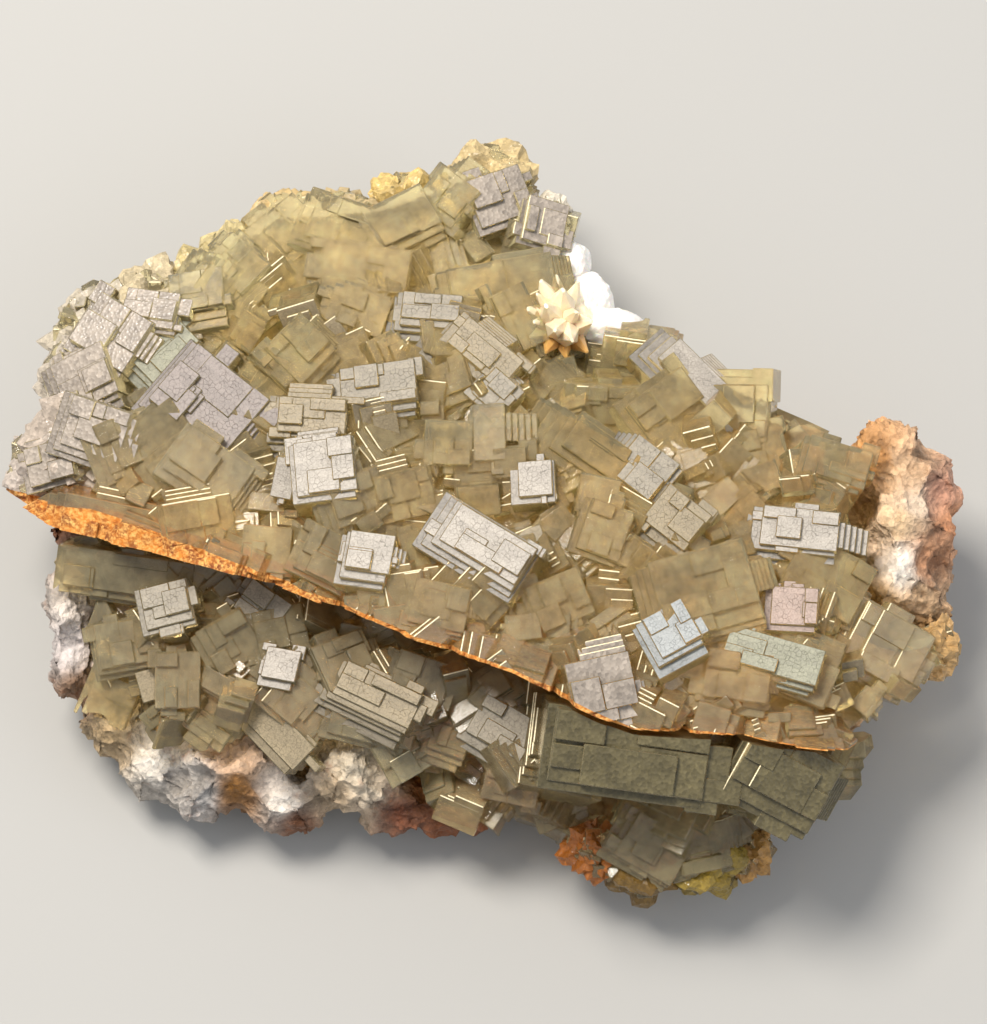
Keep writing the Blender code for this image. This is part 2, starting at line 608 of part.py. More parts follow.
def build_lower_fluorite():
    """The lower crust, kept in front of the fracture and fitted round the rock."""
    base = ROCK_TOP_UNDER_LOWER + TOUCHING_GAP
    lower = crust("lower_fluorite", lower_region(), LOWER_MIDDLE, LOWER_CRYSTALS,
                  LOWER_LUMPS, LOWER_HEIGHTS, base, 2)
    apply_boolean(lower, fracture_block("in_front", -1, base, FRACTURE_GAP), "INTERSECT")
    apply_boolean(lower, rock_lumps("pockets", POCKET_CLEARANCE), "DIFFERENCE")
    keep_largest_shell(lower)
    drop_slivers(lower)
    paint(lower, "smoky_fluorite", (0.36, 0.28, 0.13), 0.2)


def build_calcite():
    """The calcite cluster and the white calcite beside it."""
    calcite = calcite_shape("calcite_cluster")
    keep_largest_shell(calcite)
    drop_slivers(calcite)
    paint(calcite, "cream_calcite", (0.85, 0.74, 0.58), 0.4)


for old in list(bpy.data.objects):
    bpy.data.objects.remove(old)
build_rock()
build_upper_fluorite()
build_lower_fluorite()
build_calcite()
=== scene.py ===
# %% [markdown]
# # A plate of rainbow fluorite
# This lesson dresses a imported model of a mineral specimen: golden fluorite cubes that grew
# through each other, a shelf of darker ones below a fracture, rusty rock and a little calcite.
# The frame gives the solids at their real size. Every piece here is made in the same metres.

# %% Load the frame
import math
import random

import bmesh
import bpy
from mathutils import Matrix, Vector, noise


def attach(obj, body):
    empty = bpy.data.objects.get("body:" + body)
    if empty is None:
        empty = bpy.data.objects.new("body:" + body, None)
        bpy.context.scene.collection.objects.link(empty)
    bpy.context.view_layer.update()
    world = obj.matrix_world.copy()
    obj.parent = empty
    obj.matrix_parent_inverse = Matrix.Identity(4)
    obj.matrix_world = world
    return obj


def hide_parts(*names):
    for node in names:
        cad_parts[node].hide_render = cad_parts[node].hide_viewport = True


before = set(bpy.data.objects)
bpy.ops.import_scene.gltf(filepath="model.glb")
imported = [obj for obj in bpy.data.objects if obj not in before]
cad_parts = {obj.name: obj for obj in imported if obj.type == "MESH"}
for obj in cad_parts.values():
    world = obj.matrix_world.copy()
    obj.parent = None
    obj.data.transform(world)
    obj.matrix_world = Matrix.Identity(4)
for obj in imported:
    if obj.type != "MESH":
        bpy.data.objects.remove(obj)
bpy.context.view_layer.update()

MM = 0.001
scene = bpy.context.scene

# %% [markdown]
# ## The view
# The plate lies on its back and is looked down on from 72 degrees. A long lens keeps the
# cubes square. The same numbers turn a pixel of the picture into a place on the plate, so
# each crystal can be put where the picture shows it, at the height the crust has there.

# %% Camera and the pixel grid
VIEW_ELEVATION = math.radians(72)
VIEW_DISTANCE = 0.55
FRAME_SIZE = (987, 1024)
FRAME_CENTRE = (493.5, 512.0)
PLATE_WIDTH = 120 * MM
LEFT_TIP_PIXEL = 4
RIGHT_TIP_PIXEL = 969
METRES_PER_PIXEL = PLATE_WIDTH / (RIGHT_TIP_PIXEL - LEFT_TIP_PIXEL)
TARGET = Vector((0.0012, 0.0, 0.024))
RIGHT = Vector((1, 0, 0))
UP = Vector((0, math.sin(VIEW_ELEVATION), math.cos(VIEW_ELEVATION)))
TOWARDS = Vector((0, -math.cos(VIEW_ELEVATION), math.sin(VIEW_ELEVATION)))
EYE = TARGET + TOWARDS * VIEW_DISTANCE
VIEW_FRAME = Matrix((RIGHT, UP, TOWARDS)).transposed()
SENSOR = 36.0

lens = bpy.data.cameras.new("view")
lens.sensor_width = SENSOR
lens.lens = SENSOR * VIEW_DISTANCE / (METRES_PER_PIXEL * max(FRAME_SIZE))
camera = bpy.data.objects.new("view", lens)
camera.matrix_world = Matrix.Translation(EYE) @ VIEW_FRAME.to_4x4()
scene.collection.objects.link(camera)
scene.camera = camera


def place(px, py, height):
    """The point at this height that is seen at this pixel."""
    across = RIGHT * ((px - FRAME_CENTRE[0]) * METRES_PER_PIXEL)
    upwards = UP * ((FRAME_CENTRE[1] - py) * METRES_PER_PIXEL)
    ray = across + upwards - TOWARDS * VIEW_DISTANCE
    return EYE + ray * ((height - EYE.z) / ray.z)


print("lens", round(lens.lens, 1), "mm, one pixel is", round(METRES_PER_PIXEL / MM, 3), "mm")

# %% [markdown]
# ## The lie of the crust
# A few heights, read off, say how high the crystal tops stand. Between them the
# height is a weighted mean of the nearest ones, which gives a smooth mound with a lower shelf.
# The same weighting gives each crystal a colour from a few zones.

# %% Outline, fracture and heights
OUTLINE = [
    (4, 493), (8, 466), (27, 436), (50, 423), (59, 390), (60, 348), (80, 310), (99, 291),
    (148, 284), (192, 276), (214, 247), (251, 235), (257, 212), (299, 196), (345, 199),
    (366, 193), (419, 180), (467, 154), (509, 159), (526, 186), (564, 203), (562, 235),
    (578, 280), (605, 314), (633, 331), (689, 350), (748, 389), (822, 421), (879, 430),
    (896, 451), (946, 468), (969, 495), (953, 540), (965, 574), (951, 616), (943, 670),
    (901, 699), (858, 738)]
FRACTURE = [
    (-40, 478), (4, 493), (50, 524), (91, 537), (158, 556), (238, 574), (305, 598), (357, 617),
    (414, 640), (465, 659), (515, 675), (551, 693), (597, 717), (633, 731), (690, 735),
    (729, 736), (787, 747), (849, 752), (900, 745), (1000, 735)]
LOWER_EDGE = [
    (55, 560), (62, 600), (90, 650), (105, 690), (140, 725), (195, 745), (250, 765), (300, 778),
    (345, 790), (400, 785), (440, 805), (510, 818), (560, 836), (605, 870),
    (650, 884), (700, 872), (740, 862), (762, 838), (812, 816), (836, 780), (850, 750)]
RIGHT_EDGE = [(862, 440), (850, 480), (862, 530), (856, 580), (885, 615), (940, 640)]
UPPER_MIDDLE = (500, 490)
LOWER_MIDDLE = (430, 690)
UPPER_HEIGHTS = [
    (30, 480, 23), (60, 400, 25), (100, 350, 26), (100, 450, 30), (200, 300, 27), (200, 450, 34),
    (200, 540, 33), (280, 230, 23), (300, 350, 33), (350, 500, 37), (420, 230, 26),
    (450, 350, 34), (490, 190, 24), (500, 450, 37), (500, 600, 37), (550, 230, 24),
    (600, 350, 26), (600, 500, 37), (640, 370, 27), (650, 700, 35), (700, 450, 33),
    (700, 600, 37), (740, 720, 34), (780, 430, 27), (800, 500, 33), (800, 650, 35),
    (850, 560, 31), (900, 660, 28), (950, 640, 22)]
LOWER_HEIGHTS = [
    (60, 560, 24), (70, 650, 18), (90, 700, 15), (160, 620, 26), (160, 720, 22), (250, 680, 25),
    (250, 760, 16), (350, 680, 26), (350, 780, 14), (300, 760, 17), (430, 700, 25),
    (450, 780, 14), (540, 740, 24), (620, 750, 33), (700, 760, 31), (560, 800, 12),
    (600, 815, 12), (640, 820, 12), (660, 850, 15), (700, 850, 15), (740, 860, 12),
    (780, 780, 29), (820, 790, 22)]


def weighted(table, px, py, power=3.0, reach=12.0):
    """The table's values at a pixel, as a mean weighted towards the nearest places."""
    totals = [0.0] * (len(table[0]) - 2)
    weights = 0.0
    for x, y, *values in table:
        weight = 1.0 / (math.hypot(px - x, py - y) + reach) ** power
        weights += weight
        for index, value in enumerate(values):
            totals[index] += weight * value
    return [total / weights for total in totals]


def height_at(table, px, py):
    """Height of the crystal tops at a pixel, in metres."""
    return weighted(table, px, py)[0] * MM


def fracture_y(px):
    """The fracture's pixel row at a pixel column."""
    for (x0, y0), (x1, y1) in zip(FRACTURE, FRACTURE[1:]):
        if x0 <= px <= x1:
            return y0 + (px - x0) * (y1 - y0) / (x1 - x0)
    return FRACTURE[-1][1]


def inside(polygon, px, py):
    """True where the pixel lies in the polygon."""
    within = False
    for (x0, y0), (x1, y1) in zip(polygon, polygon[1:] + polygon[:1]):
        if (y0 > py) != (y1 > py) and px < x0 + (py - y0) * (x1 - x0) / (y1 - y0):
            within = not within
    return within


def upper_region():
    """The plate behind the fracture, with a strip in front of it to be cut off."""
    strip = 34
    behind = [p for p in OUTLINE if p[1] < fracture_y(p[0])]
    far = [p for p in behind if p[0] < RIGHT_EDGE[0][0] and p[1] < 600]
    near = [p for p in behind if p[1] > RIGHT_EDGE[-1][1]]
    front = [(x, y + strip) for x, y in FRACTURE if LEFT_TIP_PIXEL < x < 900]
    return far + RIGHT_EDGE + near + front[::-1]


def lower_region():
    """The part in front of the fracture, with a strip behind it to be cut off."""
    strip = 46
    back = [(x, y - strip) for x, y in FRACTURE if 50 < x < 860]
    return back + LOWER_EDGE[::-1]


print("height at the middle:", round(height_at(UPPER_HEIGHTS, 500, 490) / MM, 1), "mm")

# %% [markdown]
# ## Colours
# Colours are given as the hex values a picture editor shows. Blender works in linear light,
# so one function converts them. The zones below are the specimen's colour changes: grey
# and sugary at the left margin, honey in the middle, brown below the fracture. The darkest
# browns, just under the fracture and in the recess below the big blocks, are partly painted shade.

# %% Hex colours and colour zones


def linear(code):
    """An sRGB hex colour as linear red, green and blue."""
    values = [int(code[i:i + 2], 16) / 255 for i in (0, 2, 4)]
    return [v / 12.92 if v <= 0.04045 else ((v + 0.055) / 1.055) ** 2.4 for v in values]


def zones(*rows):
    """A table of places with their hex colour turned to linear values."""
    return [(px, py, *linear(code)) for px, py, code in rows]


UPPER_ZONES = zones(
    (40, 470, "C9BFB6"), (90, 360, "CBBFAE"), (70, 430, "BFB5AC"), (150, 310, "CDBF9E"),
    (205, 275, "D6C68E"), (285, 225, "CDB684"), (345, 215, "C6B084"), (400, 215, "E2C077"),
    (490, 185, "CFBB8C"), (550, 215, "E4DCCB"), (360, 300, "C9AC70"), (300, 355, "CFAE63"),
    (205, 400, "9C9088"), (210, 470, "C9B296"), (120, 470, "C2A77C"), (200, 530, "DBA24A"),
    (110, 520, "E3952F"), (400, 420, "C9B182"), (450, 500, "C3A875"), (500, 330, "CFB372"),
    (300, 560, "CBB08A"), (420, 600, "C2A271"), (560, 600, "BFA06C"), (606, 405, "E6C879"),
    (560, 440, "D3B679"), (640, 470, "A68C5A"), (690, 420, "D2A95F"), (700, 560, "D2B57E"),
    (620, 640, "9A8560"), (610, 700, "8A7560"), (740, 690, "CDA06F"), (800, 560, "D2AE72"),
    (820, 470, "D0A668"), (880, 650, "D6AC72"), (770, 450, "C8AC7A"))
# The darkest colours here, under the fracture and in the recess at the bottom, are partly the
# crystals' brown and partly painted shade.
LOWER_ZONES = zones(
    (110, 575, "8F7750"), (80, 620, "B39C78"), (160, 640, "C0A263"), (230, 640, "9C8148"),
    (280, 640, "8A7040"), (180, 700, "C4A56C"), (290, 705, "CDB28C"), (360, 720, "BD9F7C"),
    (370, 690, "AE9C82"), (430, 690, "7F5C36"), (460, 740, "9C6F35"), (400, 760, "B0A080"),
    (500, 720, "6E5236"), (520, 790, "B5722E"), (600, 810, "5E3216"), (640, 750, "6B6044"),
    (700, 770, "6A6040"), (780, 780, "77694C"), (650, 850, "7C5F2E"), (705, 848, "9C8438"),
    (590, 850, "A8642A"), (740, 865, "C08A4C"), (618, 788, "C4B450"), (700, 792, "B8A444"))


def zone_tint(table, px, py, rng, spread=0.3):
    """A crystal's own tint: its zone's colour, a little lighter or darker than its neighbours."""
    light = 1.0 + rng.uniform(-spread, spread)
    warm = rng.uniform(-0.05, 0.05)
    red, green, blue = weighted(table, px, py, power=3.0, reach=10.0)
    return (red * light * (1 + warm), green * light, blue * light * (1 - warm), 0.0)


print("upper zones:", len(UPPER_ZONES), "lower zones:", len(LOWER_ZONES))

# %% [markdown]
# ## Small helpers for solids
# Each crystal starts as its own closed box. All boxes of a crust are then joined in one
# Boolean, so that a crust is one skin with no walls inside it, which matters for a
# material that lets light through. The Manifold solver keeps each face's material and tint.

# %% Solids and Booleans
# The second slot is a pale skin: painted sheen on coated faces, and painted glints on some bevels.
CLEAR, SHEEN_SKIN, SUGAR, RUST = range(4)
TINT = "tint"
GRAIN = "grain"


def solid(name, bm):
    """A new object from a bmesh, which is freed."""
    mesh = bpy.data.meshes.new(name)
    bm.to_mesh(mesh)
    bm.free()
    for material in CRUST_MATERIALS:
        mesh.materials.append(material)
    obj = bpy.data.objects.new(name, mesh)
    scene.collection.objects.link(obj)
    return obj


def paint_faces(bm, tint, slot):
    """Give every face one tint and material, and lay its grain along the block's axes."""
    bm.normal_update()
    layer = bm.faces.layers.float_color.new(TINT)
    grain = bm.loops.layers.uv.new(GRAIN)
    for face in bm.faces:
        face[layer] = tint
        face.material_index = slot
        level = abs(face.normal.z) > 0.5
        for loop in face.loops:
            x, y, z = loop.vert.co
            loop[grain].uv = (x, y) if level else (x + y, z)


def keep_result(obj):
    """Make the modifiers' result the object's own mesh."""
    graph = bpy.context.evaluated_depsgraph_get()
    result = bpy.data.meshes.new_from_object(obj.evaluated_get(graph))
    obj.modifiers.clear()
    old = obj.data
    obj.data = result
    bpy.data.meshes.remove(old)


def discard(obj):
    """Remove an object and its mesh."""
    mesh = obj.data
    bpy.data.objects.remove(obj)
    bpy.data.meshes.remove(mesh)


def combine(obj, other, operation, keep_other=False):
    """Unite with, cut by or keep inside the other shape, which is then removed."""
    modifier = obj.modifiers.new(operation.lower(), "BOOLEAN")
    modifier.operation = operation
    modifier.solver = "MANIFOLD"
    modifier.object = other
    keep_result(obj)
    if not keep_other:
        discard(other)


def unite(parts, name):
    """Grow all the parts together into one solid."""
    first = parts[0]
    others = bpy.data.collections.new("others")
    scene.collection.children.link(others)
    for part in parts[1:]:
        others.objects.link(part)
    modifier = first.modifiers.new("grow", "BOOLEAN")
    modifier.operation = "UNION"
    modifier.operand_type = "COLLECTION"
    modifier.collection = others
    modifier.solver = "MANIFOLD"
    keep_result(first)
    for part in parts[1:]:
        discard(part)
    bpy.data.collections.remove(others)
    first.name = name
    return first


def copy_of(obj, name):
    """A separate copy of an object and its mesh."""
    twin = bpy.data.objects.new(name, obj.data.copy())
    scene.collection.objects.link(twin)
    return twin

# %% [markdown]
# ## Materials
# Fluorite is a soft mineral with a low refractive index of 1.434. Its honey colour comes
# from the depth of the crystal, so it is volume absorption, and its haze is a share of
# plain diffuse colour. The Principled shader does both, with the tint of each crystal read
# from its faces. Patterns read Object coordinates, in metres, so scales are one over a size.

# %% Node helper


def add(tree, kind, inputs=(), **settings):
    """A node with its settings, and its inputs given as values or as sockets to link."""
    node = tree.nodes.new(kind)
    for name, value in settings.items():
        setattr(node, name, value)
    for name, value in dict(inputs).items():
        if isinstance(value, bpy.types.NodeSocket):
            tree.links.new(value, node.inputs[name])
        else:
            node.inputs[name].default_value = value
    return node


def new_material(name):
    """A material, its tree, its shader and its object coordinates."""
    material = bpy.data.materials.new(name)
    material.use_nodes = True
    tree = material.node_tree
    shader = tree.nodes["Principled BSDF"]
    where = add(tree, "ShaderNodeTexCoord").outputs["Object"]
    return material, tree, shader, where


def speckle(tree, where, size, detail=3.0, roughness=0.55):
    """Cloudy noise whose blotches are about as wide as the size in metres."""
    inputs = {"Vector": where, "Scale": 1.0 / size, "Detail": detail, "Roughness": roughness}
    return add(tree, "ShaderNodeTexNoise", inputs).outputs["Fac"]


def between(tree, value, low, high, new_low, new_high):
    """A value stretched from one range to another."""
    inputs = {"Value": value, "From Min": low, "From Max": high, "To Min": new_low,
              "To Max": new_high}
    return add(tree, "ShaderNodeMapRange", inputs).outputs["Result"]


def maths(tree, operation, first, second):
    """Two values put together."""
    return add(tree, "ShaderNodeMath", {0: first, 1: second}, operation=operation).outputs[0]


def mixed(tree, factor, first, second, blend="MIX"):
    """Two colours mixed by a factor."""
    node = add(tree, "ShaderNodeMix", {0: factor, 6: first, 7: second}, data_type="RGBA",
               blend_type=blend)
    return node.outputs[2]


def bumped(tree, shader, height, distance, strength=1.0):
    """Roughen the shader's surface by a height, as deep as the distance in metres."""
    inputs = {"Height": height, "Distance": distance, "Strength": strength}
    tree.links.new(add(tree, "ShaderNodeBump", inputs).outputs["Normal"],
                   shader.inputs["Normal"])


def bricks(tree, along, size, turned):
    """Right-angled plates of random height, laid along the crystal's own edges."""
    angle = math.radians(90 if turned else 0)
    laid = add(tree, "ShaderNodeMapping", {"Vector": along, "Rotation": (0, 0, angle)})
    inputs = {"Vector": laid.outputs["Vector"], "Color1": (0, 0, 0, 1), "Color2": (1, 1, 1, 1),
              "Mortar": (0.5, 0.5, 0.5, 1), "Scale": 1.0, "Mortar Size": 0.0,
              "Brick Width": size * 2.3, "Row Height": size}
    return add(tree, "ShaderNodeTexBrick", inputs).outputs["Color"]

# %% Honey fluorite, growth faces slightly matt, clear inside


def honey_fluorite(name, clearness, absorbed, density):
    """Fluorite as it grew: waxy glassy faces, a milky haze, and honey colour from depth.

    The tint's alpha says how matt a face is: 0 for clear walls, 1 for etched growth faces.
    """
    material, tree, shader, where = new_material(name)
    paint = add(tree, "ShaderNodeAttribute", attribute_name=TINT)
    along = add(tree, "ShaderNodeUVMap", uv_map=GRAIN).outputs["UV"]
    etched = paint.outputs["Alpha"]
    plates = maths(tree, "ADD", bricks(tree, along, 0.9 * MM, False),
                   bricks(tree, along, 0.37 * MM, True))
    cloud = between(tree, speckle(tree, where, 5 * MM), 0.3, 0.7, 0.68, 1.22)
    veil = between(tree, speckle(tree, where, 1.4 * MM, 4.0, 0.6), 0.35, 0.7, 0.86, 1.14)
    shade = maths(tree, "MULTIPLY", cloud, veil)
    steps = between(tree, plates, 0.0, 2.0, 1.15, 1.4)
    haze = mixed(tree, 0.52, paint.outputs["Color"], (1.0, 0.89, 0.52, 1))
    body = mixed(tree, 1.0, haze, maths(tree, "MULTIPLY", shade, steps), "MULTIPLY")
    tree.links.new(body, shader.inputs["Base Color"])
    fine = speckle(tree, where, 0.3 * MM, 4.0, 0.65)
    gloss = between(tree, fine, 0.35, 0.65, 0.03, 0.1)
    tree.links.new(maths(tree, "ADD", gloss, maths(tree, "MULTIPLY", etched, 0.13)),
                   shader.inputs["Roughness"])
    shader.inputs["IOR"].default_value = 1.434
    shader.inputs["Transmission Weight"].default_value = clearness
    relief = maths(tree, "ADD", plates, fine)
    bumped(tree, shader, relief, 0.05 * MM, between(tree, etched, 0.0, 1.0, 0.2, 0.4))
    volume = add(tree, "ShaderNodeVolumeAbsorption")
    volume.inputs["Color"].default_value = (*linear(absorbed), 1)
    volume.inputs["Density"].default_value = density
    tree.links.new(volume.outputs["Volume"], tree.nodes["Material Output"].inputs["Volume"])
    return material

# %% Silvery skin on some growth faces, thin and crackled, its pale tint painted sheen


def sheen_painted_skin():
    """A satin skin, finely crackled and mottled, whose pale silvery tint is painted sheen."""
    material, tree, shader, where = new_material("sheen_painted_skin")
    tint = add(tree, "ShaderNodeAttribute", attribute_name=TINT).outputs["Color"]
    along = add(tree, "ShaderNodeUVMap", uv_map=GRAIN).outputs["UV"]
    bent = add(tree, "ShaderNodeTexNoise", {"Vector": where, "Scale": 1 / (0.5 * MM)})
    shifted = mixed(tree, 0.0005, along, bent.outputs["Color"])
    cell_inputs = {"Vector": shifted, "Scale": 1.0 / (0.62 * MM), "Randomness": 0.9}
    cells = add(tree, "ShaderNodeTexVoronoi", cell_inputs, feature="DISTANCE_TO_EDGE")
    line = between(tree, cells.outputs["Distance"], 0.0, 0.045, 0.0, 1.0)
    healed = between(tree, speckle(tree, where, 1.3 * MM), 0.42, 0.6, 0.0, 0.9)
    crack = maths(tree, "MAXIMUM", line, healed)
    fine = speckle(tree, where, 0.2 * MM, 5.0, 0.75)
    plates = bricks(tree, along, 0.8 * MM, False)
    mottle = between(tree, maths(tree, "ADD", fine, maths(tree, "MULTIPLY", plates, 0.12)),
                     0.38, 0.72, 0.62, 1.12)
    lit = mixed(tree, 1.0, tint, mottle, "MULTIPLY")
    body = mixed(tree, between(tree, crack, 0.0, 1.0, 0.55, 1.0), (*linear("3A342C"), 1), lit)
    tree.links.new(body, shader.inputs["Base Color"])
    shader.inputs["Specular IOR Level"].default_value = 0.4
    gloss = between(tree, fine, 0.35, 0.65, 0.3, 0.48)
    tree.links.new(gloss, shader.inputs["Roughness"])
    bumped(tree, shader, maths(tree, "ADD", crack, fine), 0.05 * MM, 0.7)
    return material

# %% Sugary druse: countless tiny faces


def sugar_druse():
    """A crust of tiny crystals, which glitters because each face points another way."""
    material, tree, shader, where = new_material("sugar_druse")
    tint = add(tree, "ShaderNodeAttribute", attribute_name=TINT).outputs["Color"]
    cloud = between(tree, speckle(tree, where, 3.5 * MM, 4.0), 0.3, 0.7, 0.6, 1.05)
    grains = {"Vector": where, "Scale": 1.0 / (0.42 * MM)}
    facets = add(tree, "ShaderNodeTexVoronoi", grains)
    spots = between(tree, facets.outputs["Color"], 0.0, 1.0, 0.62, 1.15)
    body = mixed(tree, 1.0, tint, maths(tree, "MULTIPLY", cloud, spots), "MULTIPLY")
    tree.links.new(body, shader.inputs["Base Color"])
    shader.inputs["IOR"].default_value = 1.434
    gloss = between(tree, speckle(tree, where, 0.5 * MM), 0.35, 0.65, 0.22, 0.5)
    tree.links.new(gloss, shader.inputs["Roughness"])
    bumped(tree, shader, facets.outputs["Distance"], 0.1 * MM, 0.7)
    return material

# %% Iron stain on the fracture


def iron_stain():
    """Rust-coloured iron oxide that soaked into the broken edge: dull and uneven."""
    material, tree, shader, where = new_material("iron_stain")
    patches = speckle(tree, where, 1.6 * MM, 5.0, 0.65)
    dark = mixed(tree, between(tree, patches, 0.38, 0.62, 0, 1), (*linear("7A3C12"), 1),
                 (*linear("CB7E2C"), 1))
    fine = speckle(tree, where, 0.5 * MM, 4.0, 0.7)
    body = mixed(tree, between(tree, fine, 0.44, 0.68, 0, 1), dark, (*linear("EDB768"), 1))
    tree.links.new(body, shader.inputs["Base Color"])
    shader.inputs["Roughness"].default_value = 0.8
    bumped(tree, shader, fine, 0.15 * MM, 0.8)
    return material

# %% Rock: colour painted on the mesh, grain from noise


def stained_rock():
    """Quartz and calcite rock: pale, pink or rusty by place, with a crystalline grain."""
    material, tree, shader, where = new_material("stained_rock")
    tint = add(tree, "ShaderNodeAttribute", attribute_name=TINT).outputs["Color"]
    cloud = between(tree, speckle(tree, where, 2.6 * MM, 6.0, 0.7), 0.3, 0.7, 0.72, 1.3)
    grains = add(tree, "ShaderNodeTexVoronoi", {"Vector": where, "Scale": 1.0 / (0.7 * MM)})
    spots = between(tree, grains.outputs["Color"], 0.0, 1.0, 0.8, 1.3)
    body = mixed(tree, 1.0, tint, maths(tree, "MULTIPLY", cloud, spots), "MULTIPLY")
    rust = between(tree, speckle(tree, where, 4.5 * MM, 6.0, 0.75), 0.56, 0.7, 0.0, 0.45)
    stained = mixed(tree, rust, body, (*linear("9C5520"), 1))
    tree.links.new(stained, shader.inputs["Base Color"])
    gloss = between(tree, speckle(tree, where, 0.9 * MM), 0.35, 0.65, 0.35, 0.8)
    tree.links.new(gloss, shader.inputs["Roughness"])
    fine = speckle(tree, where, 0.4 * MM, 4.0, 0.7)
    bumped(tree, shader, maths(tree, "ADD", grains.outputs["Distance"], fine), 0.35 * MM, 0.9)
    return material

# %% Calcite: cream, waxy, light goes a little way in


def waxy_calcite():
    """Calcite in dog-tooth crystals: cream to white, satin, with light soaking in."""
    material, tree, shader, where = new_material("waxy_calcite")
    tint = add(tree, "ShaderNodeAttribute", attribute_name=TINT).outputs["Color"]
    cloud = between(tree, speckle(tree, where, 1.8 * MM, 4.0), 0.3, 0.7, 0.85, 1.08)
    body = mixed(tree, 1.0, tint, cloud, "MULTIPLY")
    tree.links.new(body, shader.inputs["Base Color"])
    shader.inputs["IOR"].default_value = 1.6
    shader.inputs["Roughness"].default_value = 0.34
    shader.inputs["Subsurface Weight"].default_value = 0.35
    shader.inputs["Subsurface Radius"].default_value = (1.0, 0.7, 0.4)
    shader.inputs["Subsurface Scale"].default_value = 1.2 * MM
    bumped(tree, shader, speckle(tree, where, 0.6 * MM, 4.0), 0.08 * MM, 0.6)
    return material


skin = sheen_painted_skin()
sugar = sugar_druse()
rust = iron_stain()
golden = honey_fluorite("honey_fluorite", 0.84, "F8E070", 24)
smoky = honey_fluorite("smoky_honey_fluorite", 0.84, "EFC85A", 42)
rock_finish = stained_rock()
calcite_finish = waxy_calcite()
CRUST_MATERIALS = [golden, skin, sugar, rust]
print("materials:", [m.name for m in CRUST_MATERIALS])

# %% [markdown]
# ## One crystal
# A fluorite cube seldom ends in one flat face. It grows as a stack of thin parallel plates,
# each a little smaller or a little aside, which gives the right-angled steps. So a crystal
# here is a main block, terraces that widen on two sides as they go down, a narrow stair on
# one side, and small plates that stick out at its edges. Every block has its top edges
# bevelled, and the bevels that face one fixed glint direction are painted pale and opaque,
# as painted highlights that read as thin bright lines.

# %% Blocks, terraces and plates
CHAMFER = 0.11 * MM
# Walls are painted darker and warmer than the crystal's tint: painted shade on its sides.
WALL_SHADE_SHARES = (0.86, 0.8, 0.6, 1.0)
FROST = linear("D2C4AA")
# The pale edge colour is a painted glint, put on bevels that face one fixed glint direction.
PAINTED_EDGE_GLINT = linear("FFF0C8")
GLINT_WAY = Vector((-0.15, -0.03, 0.98)).normalized()
GLINTS = (0.92, 0.95, 0.98)


def crystal_frame(centre, turn, lean_right, lean_away):
    """Matrix whose Z is the face's normal: facing the view, turned, then leant."""
    turned = Matrix.Rotation(math.radians(turn), 3, "Z")
    leant = Matrix.Rotation(math.radians(lean_right), 3, "Y")
    leant = leant @ Matrix.Rotation(math.radians(-lean_away), 3, "X")
    return Matrix.Translation(centre) @ (VIEW_FRAME @ leant @ turned).to_4x4()


def block(look, low, high, glint=0.96):
    """A box between two corners of a crystal's frame, bevelled round its top.

    The look holds the frame, the body's tint, and the top face's material and tint.
    The bevels that face the glint direction closely enough are painted pale and opaque: painted
    glints.
    """
    frame_matrix, tint, slot, top_tint = look
    bm = bmesh.new()
    bmesh.ops.create_cube(bm, size=1.0)
    fit = Matrix.Translation((low + high) / 2) @ Matrix.Diagonal((*(high - low), 1.0))
    bmesh.ops.transform(bm, matrix=fit, verts=bm.verts)
    paint_faces(bm, tint, CLEAR)
    layer = bm.faces.layers.float_color[TINT]
    top = max(bm.faces, key=lambda f: f.calc_center_median().z)
    top.material_index = slot
    top[layer] = top_tint
    edges = [e for e in bm.edges if max(v.co.z for v in e.verts) > high.z - 1e-9]
    made = bmesh.ops.bevel(bm, geom=edges, offset=CHAMFER, affect="EDGES", segments=1,
                           profile=0.5, material=-1)
    bmesh.ops.transform(bm, matrix=frame_matrix, verts=bm.verts)
    bm.normal_update()
    # Bevels facing the glint direction get a pale opaque colour: painted highlights as thin bright
    # lines.
    for face in made["faces"]:
        face.material_index = CLEAR
        if face.normal.dot(GLINT_WAY) > glint:
            face.material_index = SHEEN_SKIN
            face[layer] = (*PAINTED_EDGE_GLINT, 0.0)
    return solid("block", bm)


def side_plates(look, low, high, count, rng):
    """Small plates that stick out at the crystal's edges, a little lower than its face."""
    plates = []
    span = high - low
    for _ in range(count):
        wide = span.x * rng.uniform(0.18, 0.5)
        deep = span.y * rng.uniform(0.18, 0.5)
        side = rng.choice(((-1, 0), (1, 0), (0, -1), (0, 1)))
        x = rng.uniform(low.x, high.x) if side[0] == 0 else (low.x if side[0] < 0 else high.x)
        y = rng.uniform(low.y, high.y) if side[1] == 0 else (low.y if side[1] < 0 else high.y)
        top = high.z - rng.uniform(0.15, 0.8) * MM
        corner = Vector((x - wide / 2, y - deep / 2, low.z))
        plates.append(block(look, corner, Vector((x + wide / 2, y + deep / 2, top)),
                            rng.choice(GLINTS)))
    return plates


def raised_plates(look, low, high, count, rng):
    """Thin plates grown on top of a large face, most of them out to one of its corners."""
    plates = []
    span = high - low
    for index in range(count):
        wide = span.x * rng.uniform(0.25, 0.62)
        deep = span.y * rng.uniform(0.25, 0.62)
        x = rng.choice((low.x + 0.12 * MM, high.x - wide - 0.12 * MM, low.x + span.x * 0.2))
        y = rng.choice((low.y + 0.12 * MM, high.y - deep - 0.12 * MM, low.y + span.y * 0.2))
        top = high.z + (0.22 + 0.17 * index) * MM
        plates.append(block(look, Vector((x, y, high.z - 0.4 * MM)),
                            Vector((x + wide, y + deep, top)), rng.choice(GLINTS)))
    return plates


